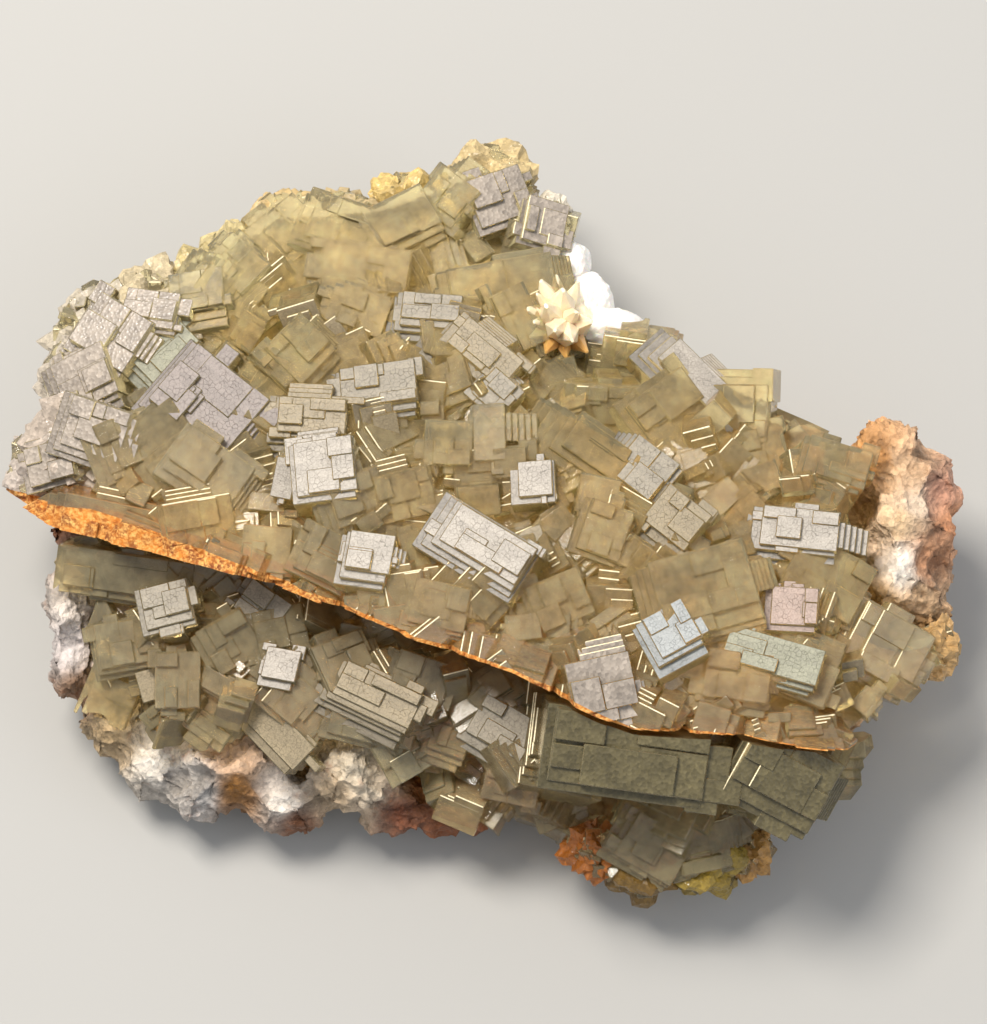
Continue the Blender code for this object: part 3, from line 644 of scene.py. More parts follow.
def terraces(look, low, high, count, rng, ways=(-1, -1)):
    """Wider, lower copies of the block, growing out on two of its sides."""
    steps = []
    for _ in range(count):
        grow_x = rng.uniform(0.45, 1.2) * MM
        grow_y = rng.uniform(0.45, 1.2) * MM
        low = low.copy()
        high = high.copy()
        low.x -= grow_x if ways[0] < 0 else rng.uniform(-0.3, 0.2) * MM
        high.x += grow_x if ways[0] > 0 else rng.uniform(-0.5, 0.3) * MM
        low.y -= grow_y if ways[1] < 0 else rng.uniform(-0.3, 0.2) * MM
        high.y += grow_y if ways[1] > 0 else rng.uniform(-0.5, 0.3) * MM
        high.z -= rng.uniform(0.35, 0.9) * MM
        # Each lower terrace's top is painted darker than the one above: painted shade.
        frame_matrix, walls, slot, top_tint = look
        look = (frame_matrix, walls, slot, tuple(c * 0.84 for c in top_tint[:3]) + (1.0,))
        steps.append(block(look, low, high, rng.choice(GLINTS)))
    return steps


def stair(look, low, high, count, rng):
    """A flight of narrow steps down one side of the block."""
    axis = rng.choice((0, 1))
    other = 1 - axis
    run = rng.uniform(0.35, 0.7) * MM
    drop = rng.uniform(0.35, 0.8) * MM
    span = high[other] - low[other]
    start = low[other] + rng.uniform(0.0, 0.4) * span
    end = high[other] - rng.uniform(0.0, 0.4) * span
    steps = []
    for index in range(1, count + 1):
        foot = low.copy()
        head = high.copy()
        foot[other] = start
        head[other] = end
        foot[axis] = high[axis] - 1 * MM
        head[axis] = high[axis] + index * run
        head.z = high.z - index * drop
        steps.append(block(look, foot, head, 0.86))
    return steps


def grow_crystal(frame_matrix, width, height, steps, plates, tint, rng, face=None,
                 ways=(-1, -1), flight=0):
    """A whole crystal: main block, terraces, a stair and side plates."""
    etched = rng.choice((0.2, 0.6, 1.0))
    matt = Vector(tint[:3]).lerp(Vector(FROST), 0.55 * etched)
    # The sides take the darker wall tint, as painted shade; the top keeps its own.
    walls = tuple(c * share for c, share in zip(tint, WALL_SHADE_SHARES))
    slot, top_tint = face or (CLEAR, (*matt, etched))
    look = (frame_matrix, walls, slot, top_tint)
    depth = max(0.8 * max(width, height), 5 * MM)
    low = Vector((-width / 2, -height / 2, -depth))
    high = Vector((width / 2, height / 2, 0))
    blocks = [block(look, low, high, rng.choice(GLINTS))]
    blocks += terraces(look, low, high, steps, rng, ways)
    blocks += stair(look, low, high, flight, rng)
    blocks += side_plates(look, low, high, plates, rng)
    if min(width, height) > 4.2 * MM:
        blocks += raised_plates(look, low, high, int(min(width, height) / (1.5 * MM)), rng)
    return blocks

# %% [markdown]
# ## The crystals that are easy to name
# These are the ones the eye finds first: the silver blade, the bright yellow cube, the
# stepped corner. Each has its place, face size, turn, lean, height above the crust, number of
# terraces, and the kind of skin on its face.

# %% Named crystals
# The skins' pale tints are painted sheen, for the light these faces reflect; their crackle is their
# own.
FACES = {
    "silver": (SHEEN_SKIN, (*linear("A9A196"), 1)), "grey": (SHEEN_SKIN, (*linear("8F8675"), 1)),
    "beige": (SHEEN_SKIN, (*linear("95876C"), 1)), "lilac": (SHEEN_SKIN, (*linear("877C76"), 1)),
    "pink": (SHEEN_SKIN, (*linear("A89286"), 1)), "blue": (SHEEN_SKIN, (*linear("979B9B"), 1)),
    "green": (SHEEN_SKIN, (*linear("908F7A"), 1)), "sugar": (SUGAR, (*linear("B0A497"), 1)),
    "dark_sugar": (SUGAR, (*linear("6A6144"), 1)), "clear": None}
MARGIN_CRYSTALS = {
    "margin_golden": (288, 232, 8.5, 7.5, 40, 12, 22, 2.8, 2, "clear"),
    "margin_pale": (342, 222, 8, 6.5, -20, 3, 25, 2.6, 2, "clear"),
    "margin_yellow": (402, 216, 8.5, 6, 28, 6, 20, 2.6, 2, "clear"),
    "margin_wedge": (446, 196, 6.5, 6, -35, -18, 16, 2.2, 1, "clear"),
    "margin_sugar": (500, 196, 7.5, 6.5, 20, 8, 12, 2.8, 1, "sugar"),
    "margin_end": (546, 222, 5.5, 6, -15, 20, 10, 2.6, 1, "sugar"),
    "margin_glint": (236, 262, 7, 5.5, -40, -10, 24, 2.8, 2, "clear"),
    "margin_left": (196, 290, 7, 5.5, 10, -12, 20, 2.4, 2, "clear"),
    "margin_ochre": (150, 308, 7, 5, -8, -10, 22, 2.6, 1, "sugar"),
    "frosted_cube": (112, 332, 8.5, 7.5, -30, -14, 16, 3.0, 2, "sugar"),
    "frosted_side": (84, 378, 7.5, 7, 25, -20, 8, 2.8, 2, "sugar"),
    "frosted_low": (96, 428, 8, 6.5, -18, -16, 4, 2.8, 2, "sugar"),
    "frosted_tip": (50, 462, 6.5, 5, 14, -18, 4, 2.4, 1, "sugar"),
    "plain_left": (128, 440, 7, 6.5, 22, 6, 8, 2.0, 2, "clear")}
UPPER_CRYSTALS = {
    "silver_blade": (488, 544, 11, 5.2, -31, -9, 14, 4.2, 3, "silver"),
    "grey_shelf": (431, 310, 7.5, 4.5, -5, -6, 16, 1.6, 3, "grey"),
    "stair_corner": (485, 352, 9, 4.5, -40, -4, 12, 1.4, 4, "beige"),
    "stair_foot": (498, 392, 5, 4.5, -42, -6, 14, 0.6, 1, "grey"),
    "left_silver_plate": (378, 384, 9.5, 5.5, 8, -9, 18, 1.6, 2, "grey"),
    "small_silver": (535, 478, 4.2, 4.6, 5, -9, 20, 2.2, 1, "silver"),
    "low_left_silver": (370, 552, 5.6, 5, -8, -6, 18, 1.8, 2, "silver"),
    "yellow_cube": (606, 405, 8, 5, -2, 4, -14, 2.2, 1, "clear"),
    "right_low_cube": (606, 530, 5.5, 6.5, -20, 10, 6, 1.2, 1, "clear"),
    "long_stack": (612, 458, 12, 4.5, -35, 12, 8, 1.4, 5, "clear"),
    "two_squares": (489, 432, 4, 7, 3, -12, 6, 1.4, 1, "clear"),
    "pink_face": (448, 443, 6, 5.6, -2, -8, 4, 1.6, 0, "clear"),
    "lilac_table": (209, 400, 12, 9.5, -38, -8, 16, 1.4, 2, "lilac"),
    "beige_table": (209, 468, 9.5, 6.5, -35, 4, 10, 1.4, 1, "clear"),
    "tile_steps": (312, 415, 8.5, 4.5, -3, -6, 12, 2.0, 4, "beige"),
    "sparkle_face": (325, 466, 7.5, 7, 8, -9, 18, 2.4, 1, "silver"),
    "side_face": (284, 478, 3, 5, -10, -24, 6, 1.6, 0, "silver"),
    "green_strip": (165, 350, 8, 5, 45, -8, 20, 1.2, 2, "green"),
    "golden_block": (301, 348, 6.5, 6.5, 45, 12, 8, 1.6, 2, "clear"),
    "glint_block": (228, 292, 8, 7, -35, 6, 12, 1.4, 3, "clear"),
    "far_wedge": (503, 285, 13.5, 6.5, 10, 6, 10, 1.6, 1, "clear"),
    "big_crystal": (520, 318, 5, 8, 25, 14, 4, 1.4, 0, "clear"),
    "far_golden_face": (358, 310, 7.5, 5, -20, 4, 10, 1.2, 1, "clear"),
    "far_pale_face": (366, 270, 11, 6.5, -8, -2, 3, 1.4, 2, "clear"),
    "right_top_strip": (700, 378, 11, 4, -48, 6, 20, 1.8, 3, "silver"),
    "big_golden": (672, 412, 8, 9, -55, 14, 12, 1.0, 1, "clear"),
    "right_slab": (800, 528, 9.5, 5, -6, -6, 14, 2.2, 3, "silver"),
    "pink_film": (795, 606, 5.8, 4.8, -3, -6, 16, 2.0, 1, "pink"),
    "blue_film": (672, 628, 5.6, 5.6, 30, -9, 18, 2.6, 2, "blue"),
    "film_strip": (773, 655, 12, 4.6, -16, -6, 16, 1.8, 2, "green"),
    "big_clear_face": (706, 590, 12, 10, 15, 5, 6, 1.2, 3, "clear"),
    "tile_steps_right": (677, 517, 6.6, 5.6, -38, -6, 10, 2.0, 4, "beige"),
    "dark_tiles": (644, 468, 6.5, 6.2, -38, -6, 14, 1.8, 4, "grey"),
    "ochre_wedge": (828, 578, 10, 8, -30, 8, 4, 1.4, 0, "clear"),
    "left_golden": (200, 525, 8.5, 6.5, 10, 4, -6, 1.0, 1, "clear"),
    "orange_feather": (110, 522, 12, 5, -12, -4, -10, 0.4, 2, "clear"),
    "low_pink": (266, 549, 6, 5.6, -6, 6, 0, 1.2, 0, "clear"),
    "cleaved_end": (738, 676, 8, 6, -8, -4, 4, 1.4, 2, "clear"),
    "sugar_mass": (603, 690, 8, 8, 12, 8, 0, 1.8, 0, "sugar"),
    "striated_face": (888, 648, 10, 8, -28, 16, -4, 0.8, 2, "clear"),
    "right_back_face": (760, 452, 7, 6, 12, 8, 12, 0.8, 1, "clear"),
    "right_end_face": (838, 462, 8, 5, -18, 6, 16, 1.0, 1, "clear"),
    "centre_face": (405, 495, 7, 6, 14, 4, -4, 0.8, 1, "clear"),
    "low_centre_face": (440, 605, 7, 5.5, -12, -4, 2, 0.8, 2, "clear"),
    "low_right_face": (560, 600, 7, 6, 22, 8, 2, 1.0, 1, "clear")}
LOWER_CRYSTALS = {
    "silver_corner": (166, 604, 6, 5.4, 15, -9, 16, 1.8, 1, "grey"),
    "three_tiles": (262, 606, 6, 4.6, -35, -6, 8, 1.8, 3, "grey"),
    "bright_chip": (281, 664, 4.4, 4, -10, -9, 18, 2.0, 1, "silver"),
    "smoky_table": (116, 572, 13, 5, -8, -4, -6, 1.4, 2, "clear"),
    "golden_cube": (178, 680, 5.6, 7, 0, 8, 2, 1.8, 0, "clear"),
    "dark_gold": (275, 634, 8, 6.5, 12, 6, 8, 0.8, 1, "clear"),
    "left_gold": (128, 642, 8, 5.6, 10, -8, 2, 1.0, 2, "clear"),
    "mid_gold": (230, 642, 6.4, 6.4, 30, 6, -4, 1.2, 1, "clear"),
    "stair_strip": (378, 694, 10.5, 4.6, -25, -6, 10, 1.8, 4, "beige"),
    "dark_pair": (420, 680, 7, 6, -20, 6, 6, 0.8, 2, "clear"),
    "dark_diamond": (502, 697, 6.5, 6, 45, 8, 4, 1.2, 1, "clear"),
    "dark_tile": (504, 728, 8, 5.5, -30, -6, 8, 1.6, 2, "grey"),
    "amber_cube": (451, 737, 5, 4.5, -20, -4, 2, 1.4, 2, "clear"),
    "ridge_blade": (268, 722, 13, 4, -44, -14, 4, 1.8, 1, "beige"),
    "pale_blade": (304, 700, 8, 7, -40, 8, -6, 1.4, 1, "clear"),
    "pink_blade": (367, 722, 9, 5, -15, 4, -8, 1.2, 1, "clear"),
    "grey_green": (402, 756, 6, 6, -60, 10, -6, 1.2, 0, "clear"),
    "big_block": (630, 754, 19, 9, -8, 3, -4, 1.2, 1, "dark_sugar"),
    "green_edge": (632, 788, 15, 2.4, -9, 0, -24, 0.7, 1, "clear"),
    "right_block": (784, 778, 12, 9.5, -28, 8, -8, 1.2, 1, "dark_sugar"),
    "chip_under_block": (712, 778, 7, 5, 18, -6, 4, 0.4, 1, "clear"),
    "knob_face": (655, 848, 8, 6.5, -30, -4, -4, 1.6, 2, "clear"),
    "knob_side": (704, 848, 6.5, 6, 12, 10, -8, 1.2, 1, "clear"),
    "hollow_face": (560, 798, 6, 5, 20, -4, 0, 1.0, 1, "clear"),
    "orange_blade": (512, 786, 7, 4.5, -12, 4, -8, 1.6, 0, "clear"),
    "left_low_cube": (112, 700, 6, 6, -24, -8, -4, 1.0, 1, "clear")}


def named_crystals(table, heights, colours, seed):
    """The crystals of a table, each standing on the crust at its own place."""
    rng = random.Random(seed)
    blocks = []
    for px, py, width, height, turn, right, away, lift, steps, face in table.values():
        centre = place(px, py, height_at(heights, px, py) + lift * MM)
        frame_matrix = crystal_frame(centre, turn, right, away)
        tint = zone_tint(colours, px, py, rng)
        blocks += grow_crystal(frame_matrix, width * MM, height * MM, steps, 3, tint, rng,
                               FACES[face], (-1, -1), rng.choice((0, 3, 5)))
    return blocks


print("named crystals:", len(UPPER_CRYSTALS) + len(LOWER_CRYSTALS))

# %% [markdown]
# ## The crystals between them
# The rest are scattered evenly with a seeded random generator. Neighbours share a turn,
# because crystals of one patch grew on the same foundation. Large ones come first, at the
# same places as in the solids, and then smaller ones fill the hollows between.

# %% Scattered crystals
FILLER_SPACING = 66
FILLER_SIZE = (6.0, 9.6)
FILLER_SEED = 11
NAMED_CLEARANCE = 28
EDGE_MARGIN = 20
SUGARY_MARGIN = [(92, 368, 84), (52, 462, 56), (148, 306, 52), (300, 226, 58), (488, 190, 58),
                 (578, 300, 66)]
CALCITE_NOOK = [(578, 300, 50), (548, 322, 34)]


def scatter(region, named, rng, spacing, clearance, share, side, tries, margin, bare):
    """Evenly scattered places inside the region, clear of the named crystals' sides."""
    columns = [p[0] for p in region]
    rows = [p[1] for p in region]
    taken = []
    for _ in range(tries):
        px = rng.uniform(min(columns), max(columns))
        py = rng.uniform(min(rows), max(rows))
        corners = [(px + dx, py + dy) for dx in (-margin, margin) for dy in (-margin, margin)]
        if not all(inside(region, *corner) for corner in corners):
            continue
        if any(math.hypot(px - x, py - y) < spacing for x, y in taken):
            continue
        if any(math.hypot(px - c[0], py - c[1]) < clearance + share * c[side]
               for c in named.values()):
            continue
        if any(math.hypot(px - x, py - y) < reach for x, y, reach in bare):
            continue
        taken.append((px, py))
    return taken


def family_turn(px, py, seed):
    """The turn that crystals share in one patch, in degrees."""
    return noise.noise(Vector((px, py, seed)) / 160) * 160


def large_fillers(region, named, heights, colours, seed):
    """The large crystals between the named ones, placed as in the solids."""
    rng = random.Random(seed)
    detail = random.Random(seed + 1)
    blocks = []
    places = scatter(region, named, random.Random(seed), FILLER_SPACING, NAMED_CLEARANCE, 2.2, 3,
                     2600, EDGE_MARGIN, SUGARY_MARGIN)
    for px, py in places:
        size = rng.uniform(*FILLER_SIZE) * MM
        turn = family_turn(px, py, seed) + rng.uniform(-14, 14)
        lean_right = rng.uniform(-26, 26)
        lean_away = rng.uniform(-22, 26)
        centre = place(px, py, height_at(heights, px, py) + rng.uniform(-1.5, 0.3) * MM)
        frame_matrix = crystal_frame(centre, turn, lean_right, lean_away)
        depth = size * rng.uniform(0.65, 1.0)
        tint = zone_tint(colours, px, py, detail)
        ways = (detail.choice((-1, 1)), detail.choice((-1, 1)))
        blocks += grow_crystal(frame_matrix, size, depth, detail.choice((1, 2, 3)), 3, tint,
                               detail, None, ways, detail.choice((0, 3, 5)))
    return blocks


def small_fillers(region, named, heights, colours, seed, spacing, sizes, lifts, share, bare):
    """Smaller crystals in the hollows, some of them standing on edge."""
    rng = random.Random(seed)
    blocks = []
    for px, py in scatter(region, named, rng, spacing, 3, share, 2, 26000, 14, bare):
        lean = rng.choice((16, 24, 30, 55))
        size = rng.uniform(*sizes) * MM
        turn = family_turn(px, py, seed) + rng.uniform(-24, 24)
        centre = place(px, py, height_at(heights, px, py) + rng.uniform(*lifts) * MM)
        frame_matrix = crystal_frame(centre, turn, rng.uniform(-lean, lean),
                                     rng.uniform(-lean, lean))
        tint = zone_tint(colours, px, py, rng)
        face = FACES["beige"] if rng.random() < 0.06 else None
        ways = (rng.choice((-1, 1)), rng.choice((-1, 1)))
        blocks += grow_crystal(frame_matrix, size, size * rng.uniform(0.45, 1.0),
                               rng.choice((0, 1, 2)), rng.choice((0, 1)), tint, rng, face,
                               ways, rng.choice((0, 0, 3)))
    return blocks

# %% [markdown]
# ## Sugary lumps
# The top and left margin is rounded and covered with druse. A lump is an icosphere, finely
# divided, whose points are pushed in and out by noise and by a little chance. Small cubes
# stand all over it. Everything stays flat shaded, so each tiny face flashes on its own.

# %% Lumps
UPPER_LUMPS = [
    (106, 334, 7.6, 5.5), (84, 376, 6.0, 4.5), (90, 432, 7.4, 5.0), (54, 464, 6.0, 4.2),
    (30, 482, 3.4, 2.8), (156, 308, 6.0, 4.6), (206, 288, 5.4, 4.0), (240, 256, 4.8, 4.0),
    (286, 226, 5.2, 4.0), (345, 224, 5.0, 4.0), (408, 210, 5.4, 4.2), (489, 190, 6.6, 5.2),
    (548, 222, 3.4, 3.2), (740, 402, 3.4, 3.0), (926, 650, 4.4, 5.0)]
LOWER_LUMPS = [
    (640, 852, 6.4, 6.0), (702, 852, 5.8, 5.4), (598, 848, 4.4, 4.6), (744, 850, 4.0, 4.2)]


def lump(centre, radii, seed, tint, slot=SUGAR, fineness=4, grain=0.1, swell=0.16, grow=0.0):
    """A rounded lump whose surface is broken into small faces."""
    rng = random.Random(seed)
    bm = bmesh.new()
    bmesh.ops.create_icosphere(bm, subdivisions=fineness, radius=1.0)
    paint_faces(bm, tint, slot)
    for vert in bm.verts:
        start = vert.co.normalized()
        broad = noise.noise(start * 1.7 + Vector((seed, 0, 0))) * swell
        ripple = noise.noise(start * 6.0 + Vector((0, seed, 0))) * swell * 0.4
        reach = 1.0 + broad + ripple
        scaled = Vector([axis * (radius * reach + grow) for axis, radius in zip(start, radii)])
        vert.co = centre + scaled + start * rng.uniform(-grain, grain) * MM
    return solid("lump", bm)


def druse(centre, radii, tint, rng, count, sizes):
    """Small cubes grown all over a lump, their corners pointing any way."""
    cubes = []
    for _ in range(count):
        way = Vector((rng.gauss(0, 1), rng.gauss(0, 1), abs(rng.gauss(0, 1)) - 0.3)).normalized()
        spot = centre + Vector([a * r * rng.uniform(0.86, 1.0) for a, r in zip(way, radii)])
        size = rng.uniform(*sizes) * MM
        spin = Matrix.Rotation(rng.uniform(0, 6.28), 4, "Z")
        tip = Matrix.Rotation(rng.uniform(-0.7, 0.7), 4, "X")
        turned = way.to_track_quat("Z", "Y").to_matrix().to_4x4()
        light = rng.uniform(0.85, 1.2)
        own = tuple(min(1.0, c * light) for c in tint[:3])
        slot = rng.choice((CLEAR, SUGAR, SUGAR))
        look = (Matrix.Translation(spot) @ turned @ tip @ spin, (*own, 0.0), slot, (*own, 0.6))
        half = size / 2
        low = Vector((-half, -half, -size * 1.1))
        high = Vector((half, half * rng.uniform(0.5, 1.0), size * rng.uniform(-0.1, 0.15)))
        cubes.append(block(look, low, high))
    return cubes


def sugar_lumps(table, heights, colours, first_seed):
    """The rounded lumps of a table, each in its zone's tint."""
    rng = random.Random(first_seed)
    lumps = []
    for index, (px, py, radius, depth) in enumerate(table):
        middle = place(px, py, height_at(heights, px, py) + (1.0 - depth) * MM)
        radii = [radius * MM * 0.88, radius * MM * 0.88, depth * MM * 0.92]
        tint = zone_tint(colours, px, py, rng, 0.05)
        lumps.append(lump(middle, radii, first_seed + index, tint, swell=0.55))
        lumps += druse(middle, radii, tint, rng, int(16 * radius), (0.8, 2.4))
    return lumps

# %% [markdown]
# ## The massive core and the cuts
# Under the crystals each crust is massive. Its core is a net of rings between the middle and
# the edge. The long fracture is a leaning wall: everything on one side of it is kept for the
# upper crust, and everything on the other side for the lower one.

# %% Core, fracture and base
ROCK_TOP_UNDER_UPPER = 20 * MM
ROCK_TOP_UNDER_LOWER = 6 * MM
TOUCHING_GAP = 0.3 * MM
FRACTURE_GAP = 0.8 * MM
FRACTURE_OVERHANG = math.tan(math.radians(24))
CORE_DEPTH = 3.2 * MM
POCKET_CLEARANCE = 0.35 * MM


def crust_core(region, middle, heights, base, tint):
    """The massive middle of a crust: rings that follow its top, closed down to its base."""
    middle_x, middle_y = middle
    bm = bmesh.new()
    top = bm.verts.new(place(middle_x, middle_y, height_at(heights, *middle) - CORE_DEPTH))
    rings = []
    for reach, drop in ((0.3, 0.0), (0.6, 0.0), (0.86, 0.3 * MM), (0.97, 2.0 * MM)):
        ring = []
        for x, y in region:
            px = middle_x + (x - middle_x) * reach
            py = middle_y + (y - middle_y) * reach
            crest = height_at(heights, px, py) - CORE_DEPTH - drop
            ring.append(bm.verts.new(place(px, py, crest)))
        rings.append(ring)
    foot = [bm.verts.new((v.co.x * 0.98, v.co.y * 0.98, base - 2 * MM)) for v in rings[-1]]
    rings.append(foot)
    bottom = bm.verts.new((top.co.x, top.co.y, base - 2 * MM))
    for i, _ in enumerate(region):
        j = (i + 1) % len(region)
        bm.faces.new((top, rings[0][i], rings[0][j]))
        for inner, outer in zip(rings, rings[1:]):
            bm.faces.new((inner[i], outer[i], outer[j], inner[j]))
        bm.faces.new((foot[i], bottom, foot[j]))
    bmesh.ops.triangulate(bm, faces=bm.faces)
    bmesh.ops.recalc_face_normals(bm, faces=bm.faces)
    paint_faces(bm, tint, CLEAR)
    return solid("core", bm)


def wall_row(level, back, bm):
    """Points along the fracture wall at a height, moved back by a distance for each pixel."""
    row = []
    for px, py in FRACTURE:
        crest = height_at(UPPER_HEIGHTS, px, py) + 1 * MM
        edge = place(px, py, crest)
        y = edge.y + (crest - level) * FRACTURE_OVERHANG + back(px)
        row.append(bm.verts.new((edge.x, y, level)))
    return row


def prism(low, high, bm, name, tint, slot):
    """A closed block between two matching rings of points."""
    bm.faces.new(low)
    bm.faces.new(high[::-1])
    for i, _ in enumerate(low):
        j = (i + 1) % len(low)
        bm.faces.new((low[i], low[j], high[j], high[i]))
    bmesh.ops.triangulate(bm, faces=bm.faces)
    bmesh.ops.recalc_face_normals(bm, faces=bm.faces)
    paint_faces(bm, tint, slot)
    return solid(name, bm)


def fracture_block(name, side, base, forward=0.0):
    """All space on one side of the leaning fracture wall, above a base height."""
    bm = bmesh.new()
    rings = []
    for level in (base, 70 * MM):
        row = wall_row(level, lambda px: -forward, bm)
        far = side * 90 * MM
        row.append(bm.verts.new((row[-1].co.x, far, level)))
        row.append(bm.verts.new((row[0].co.x, far, level)))
        rings.append(row)
    return prism(*rings, bm, name, (*linear("6B4A2A"), 1), CLEAR)


def stain_depth(px):
    """How far the rust reaches back from the fracture edge, in metres, at a pixel column."""
    table = [(0, 0, 0.3), (50, 0, 2.4), (110, 0, 4.2), (170, 0, 3.2), (225, 0, 2.0), (270, 0, 0.35),
             (400, 0, 0.4), (520, 0, 0.5), (590, 0, 0.8), (640, 0, 0.15), (760, 0, 0.12),
             (850, 0, 0.3)]
    wobble = 1.0 + 0.8 * noise.noise(Vector((px / 14, 3.1, 0)))
    return weighted(table, px, 0, 2.0, 4.0)[0] * wobble * MM


def stained_slab(name, extra):
    """The rusty zone: a thin slab along the fracture wall."""
    bm = bmesh.new()
    rings = []
    for level in (15 * MM, 70 * MM):
        front = wall_row(level, lambda px: -2 * MM, bm)
        back = wall_row(level, lambda px: stain_depth(px) + extra, bm)
        rings.append(front + back[::-1])
    return prism(*rings, bm, name, (*linear("D08A3C"), 1), RUST)


print("rust depth in mm at three places:",
      [round(stain_depth(px) / MM, 2) for px in (110, 400, 760)])

# %% [markdown]
# ## The rock
# The rock shows along the left and lower margin and at the right end. Its lumps are known
# from the solids, so the crusts can be given pockets for them. The rock's own skin starts from
# the solid, remeshed finely, and its points are then pushed inwards by several sizes of noise.

# %% Rock lumps and pockets
ROCK_LUMPS = [
    (74, 606, 15, 4.4, 6.6, 6.5), (76, 668, 11, 4.4, 6.0, 6.4), (118, 716, 10, 6.4, 6.4, 6.4),
    (156, 768, 8, 6.0, 5.4, 6.0), (206, 798, 8, 5.4, 4.4, 5.6), (232, 764, 12, 7.6, 5.6, 6.2),
    (286, 804, 8, 7.0, 4.8, 6.0), (352, 772, 12, 7.0, 6.2, 7.0), (392, 804, 8, 6.4, 4.4, 5.0),
    (456, 812, 7, 7.4, 3.8, 4.8), (882, 466, 22, 7.0, 6.6, 8.0), (924, 494, 20, 5.4, 6.6, 9.0),
    (904, 530, 22, 7.2, 7.6, 8.5), (938, 556, 17, 3.6, 7.0, 8.0), (892, 588, 21, 7.0, 7.0, 8.0),
    (920, 614, 17, 4.4, 5.0, 7.0)]
CALCITE_LUMPS = [
    (570, 268, 20.5, 2.8, 3.8, 4.2), (588, 304, 21.5, 3.4, 4.2, 4.6),
    (614, 336, 22.5, 4.6, 3.6, 4.4), (560, 326, 23.5, 4.2, 4.2, 5.0),
    (638, 352, 23.5, 2.8, 2.4, 3.4)]


def pockets(table, name, grow):
    """Smooth lumps, a little larger than the real ones, that cut room for them."""
    brown = (*linear("8A6A40"), 0.0)
    shapes = []
    for index, (px, py, height, *radii) in enumerate(table):
        sizes = [radius * MM for radius in radii]
        shapes.append(lump(place(px, py, height * MM), sizes, index, brown, CLEAR, 3, 0.0,
                           0.1, grow))
    return unite(shapes, name)

# %% Build both crusts


def build_crust(name, region, middle, table, margin, lumps, heights, colours, base, seed):
    """Core, named crystals, fillers and lumps, grown into one skin."""
    rng = random.Random(seed)
    parts = [crust_core(region, middle, heights, base, zone_tint(colours, *middle, rng))]
    parts += named_crystals(table, heights, colours, seed)
    parts += large_fillers(region, table, heights, colours, seed + FILLER_SEED)
    parts += named_crystals(margin, heights, colours, seed + 5)
    parts += small_fillers(region, table, heights, colours, seed + 20, 34, (2.8, 5.4),
                           (-1.8, 0.6), 3.1, SUGARY_MARGIN)
    parts += small_fillers(region, table, heights, colours, seed + 30, 23, (1.4, 3.0),
                           (-1.8, 0.2), 2.6, CALCITE_NOOK)
    parts += sugar_lumps(lumps, heights, colours, 50)
    print(name, "grown from", len(parts), "parts")
    return unite(parts, name)


upper = build_crust("upper_crystals", upper_region(), UPPER_MIDDLE, UPPER_CRYSTALS,
                    MARGIN_CRYSTALS, UPPER_LUMPS, UPPER_HEIGHTS, UPPER_ZONES,
                    ROCK_TOP_UNDER_UPPER + TOUCHING_GAP, 1)
lower = build_crust("lower_crystals", lower_region(), LOWER_MIDDLE, LOWER_CRYSTALS, {},
                    LOWER_LUMPS, LOWER_HEIGHTS, LOWER_ZONES,
                    ROCK_TOP_UNDER_LOWER + TOUCHING_GAP, 2)

# %% Cut both crusts to the fracture and the rock
rock_pockets = pockets(ROCK_LUMPS, "rock_pockets", POCKET_CLEARANCE + 0.5 * MM)
calcite_pocket = pockets(CALCITE_LUMPS, "calcite_pocket", POCKET_CLEARANCE)
combine(upper, fracture_block("behind", 1, ROCK_TOP_UNDER_UPPER + TOUCHING_GAP), "INTERSECT")
combine(upper, rock_pockets, "DIFFERENCE", keep_other=True)
combine(upper, calcite_pocket, "DIFFERENCE")
combine(lower, fracture_block("in_front", -1, ROCK_TOP_UNDER_LOWER + TOUCHING_GAP,
                              FRACTURE_GAP), "INTERSECT")
combine(lower, rock_pockets, "DIFFERENCE")

# %% Rust along the fracture
stained = copy_of(upper, "stained")
combine(stained, stained_slab("slab", 0.01 * MM), "INTERSECT")
for polygon in stained.data.polygons:
    polygon.material_index = RUST
combine(upper, stained_slab("slab", 0.0), "DIFFERENCE")
combine(upper, stained, "UNION")
print("upper crust:", len(upper.data.polygons), "faces, lower:", len(lower.data.polygons))

# %% [markdown]
# ## Tidying the skins
# After the joins a few tiny chips hang loose where a cut left them. Only the largest shell
# of each crust is kept.

# %% Keep the largest shell


def keep_largest_shell(obj):
    """Leave only the biggest connected shell: no cut-off chips and no sealed pockets."""
    bm = bmesh.new()
    bm.from_mesh(obj.data)
    unseen = set(bm.verts)
    shells = []
    while unseen:
        stack = [unseen.pop()]
        shell = set(stack)
        while stack:
            for edge in stack.pop().link_edges:
                for vert in edge.verts:
                    if vert in unseen:
                        unseen.remove(vert)
                        shell.add(vert)
                        stack.append(vert)
        shells.append(shell)
    largest = max(shells, key=len)
    chips = [v for v in bm.verts if v not in largest]
    bmesh.ops.delete(bm, geom=chips, context="VERTS")
    bm.to_mesh(obj.data)
    bm.free()
    print(obj.name, "kept one of", len(shells), "shells")


for crust in (upper, lower):
    keep_largest_shell(crust)
    crust.data.shade_flat()
lower.data.materials[CLEAR] = smoky

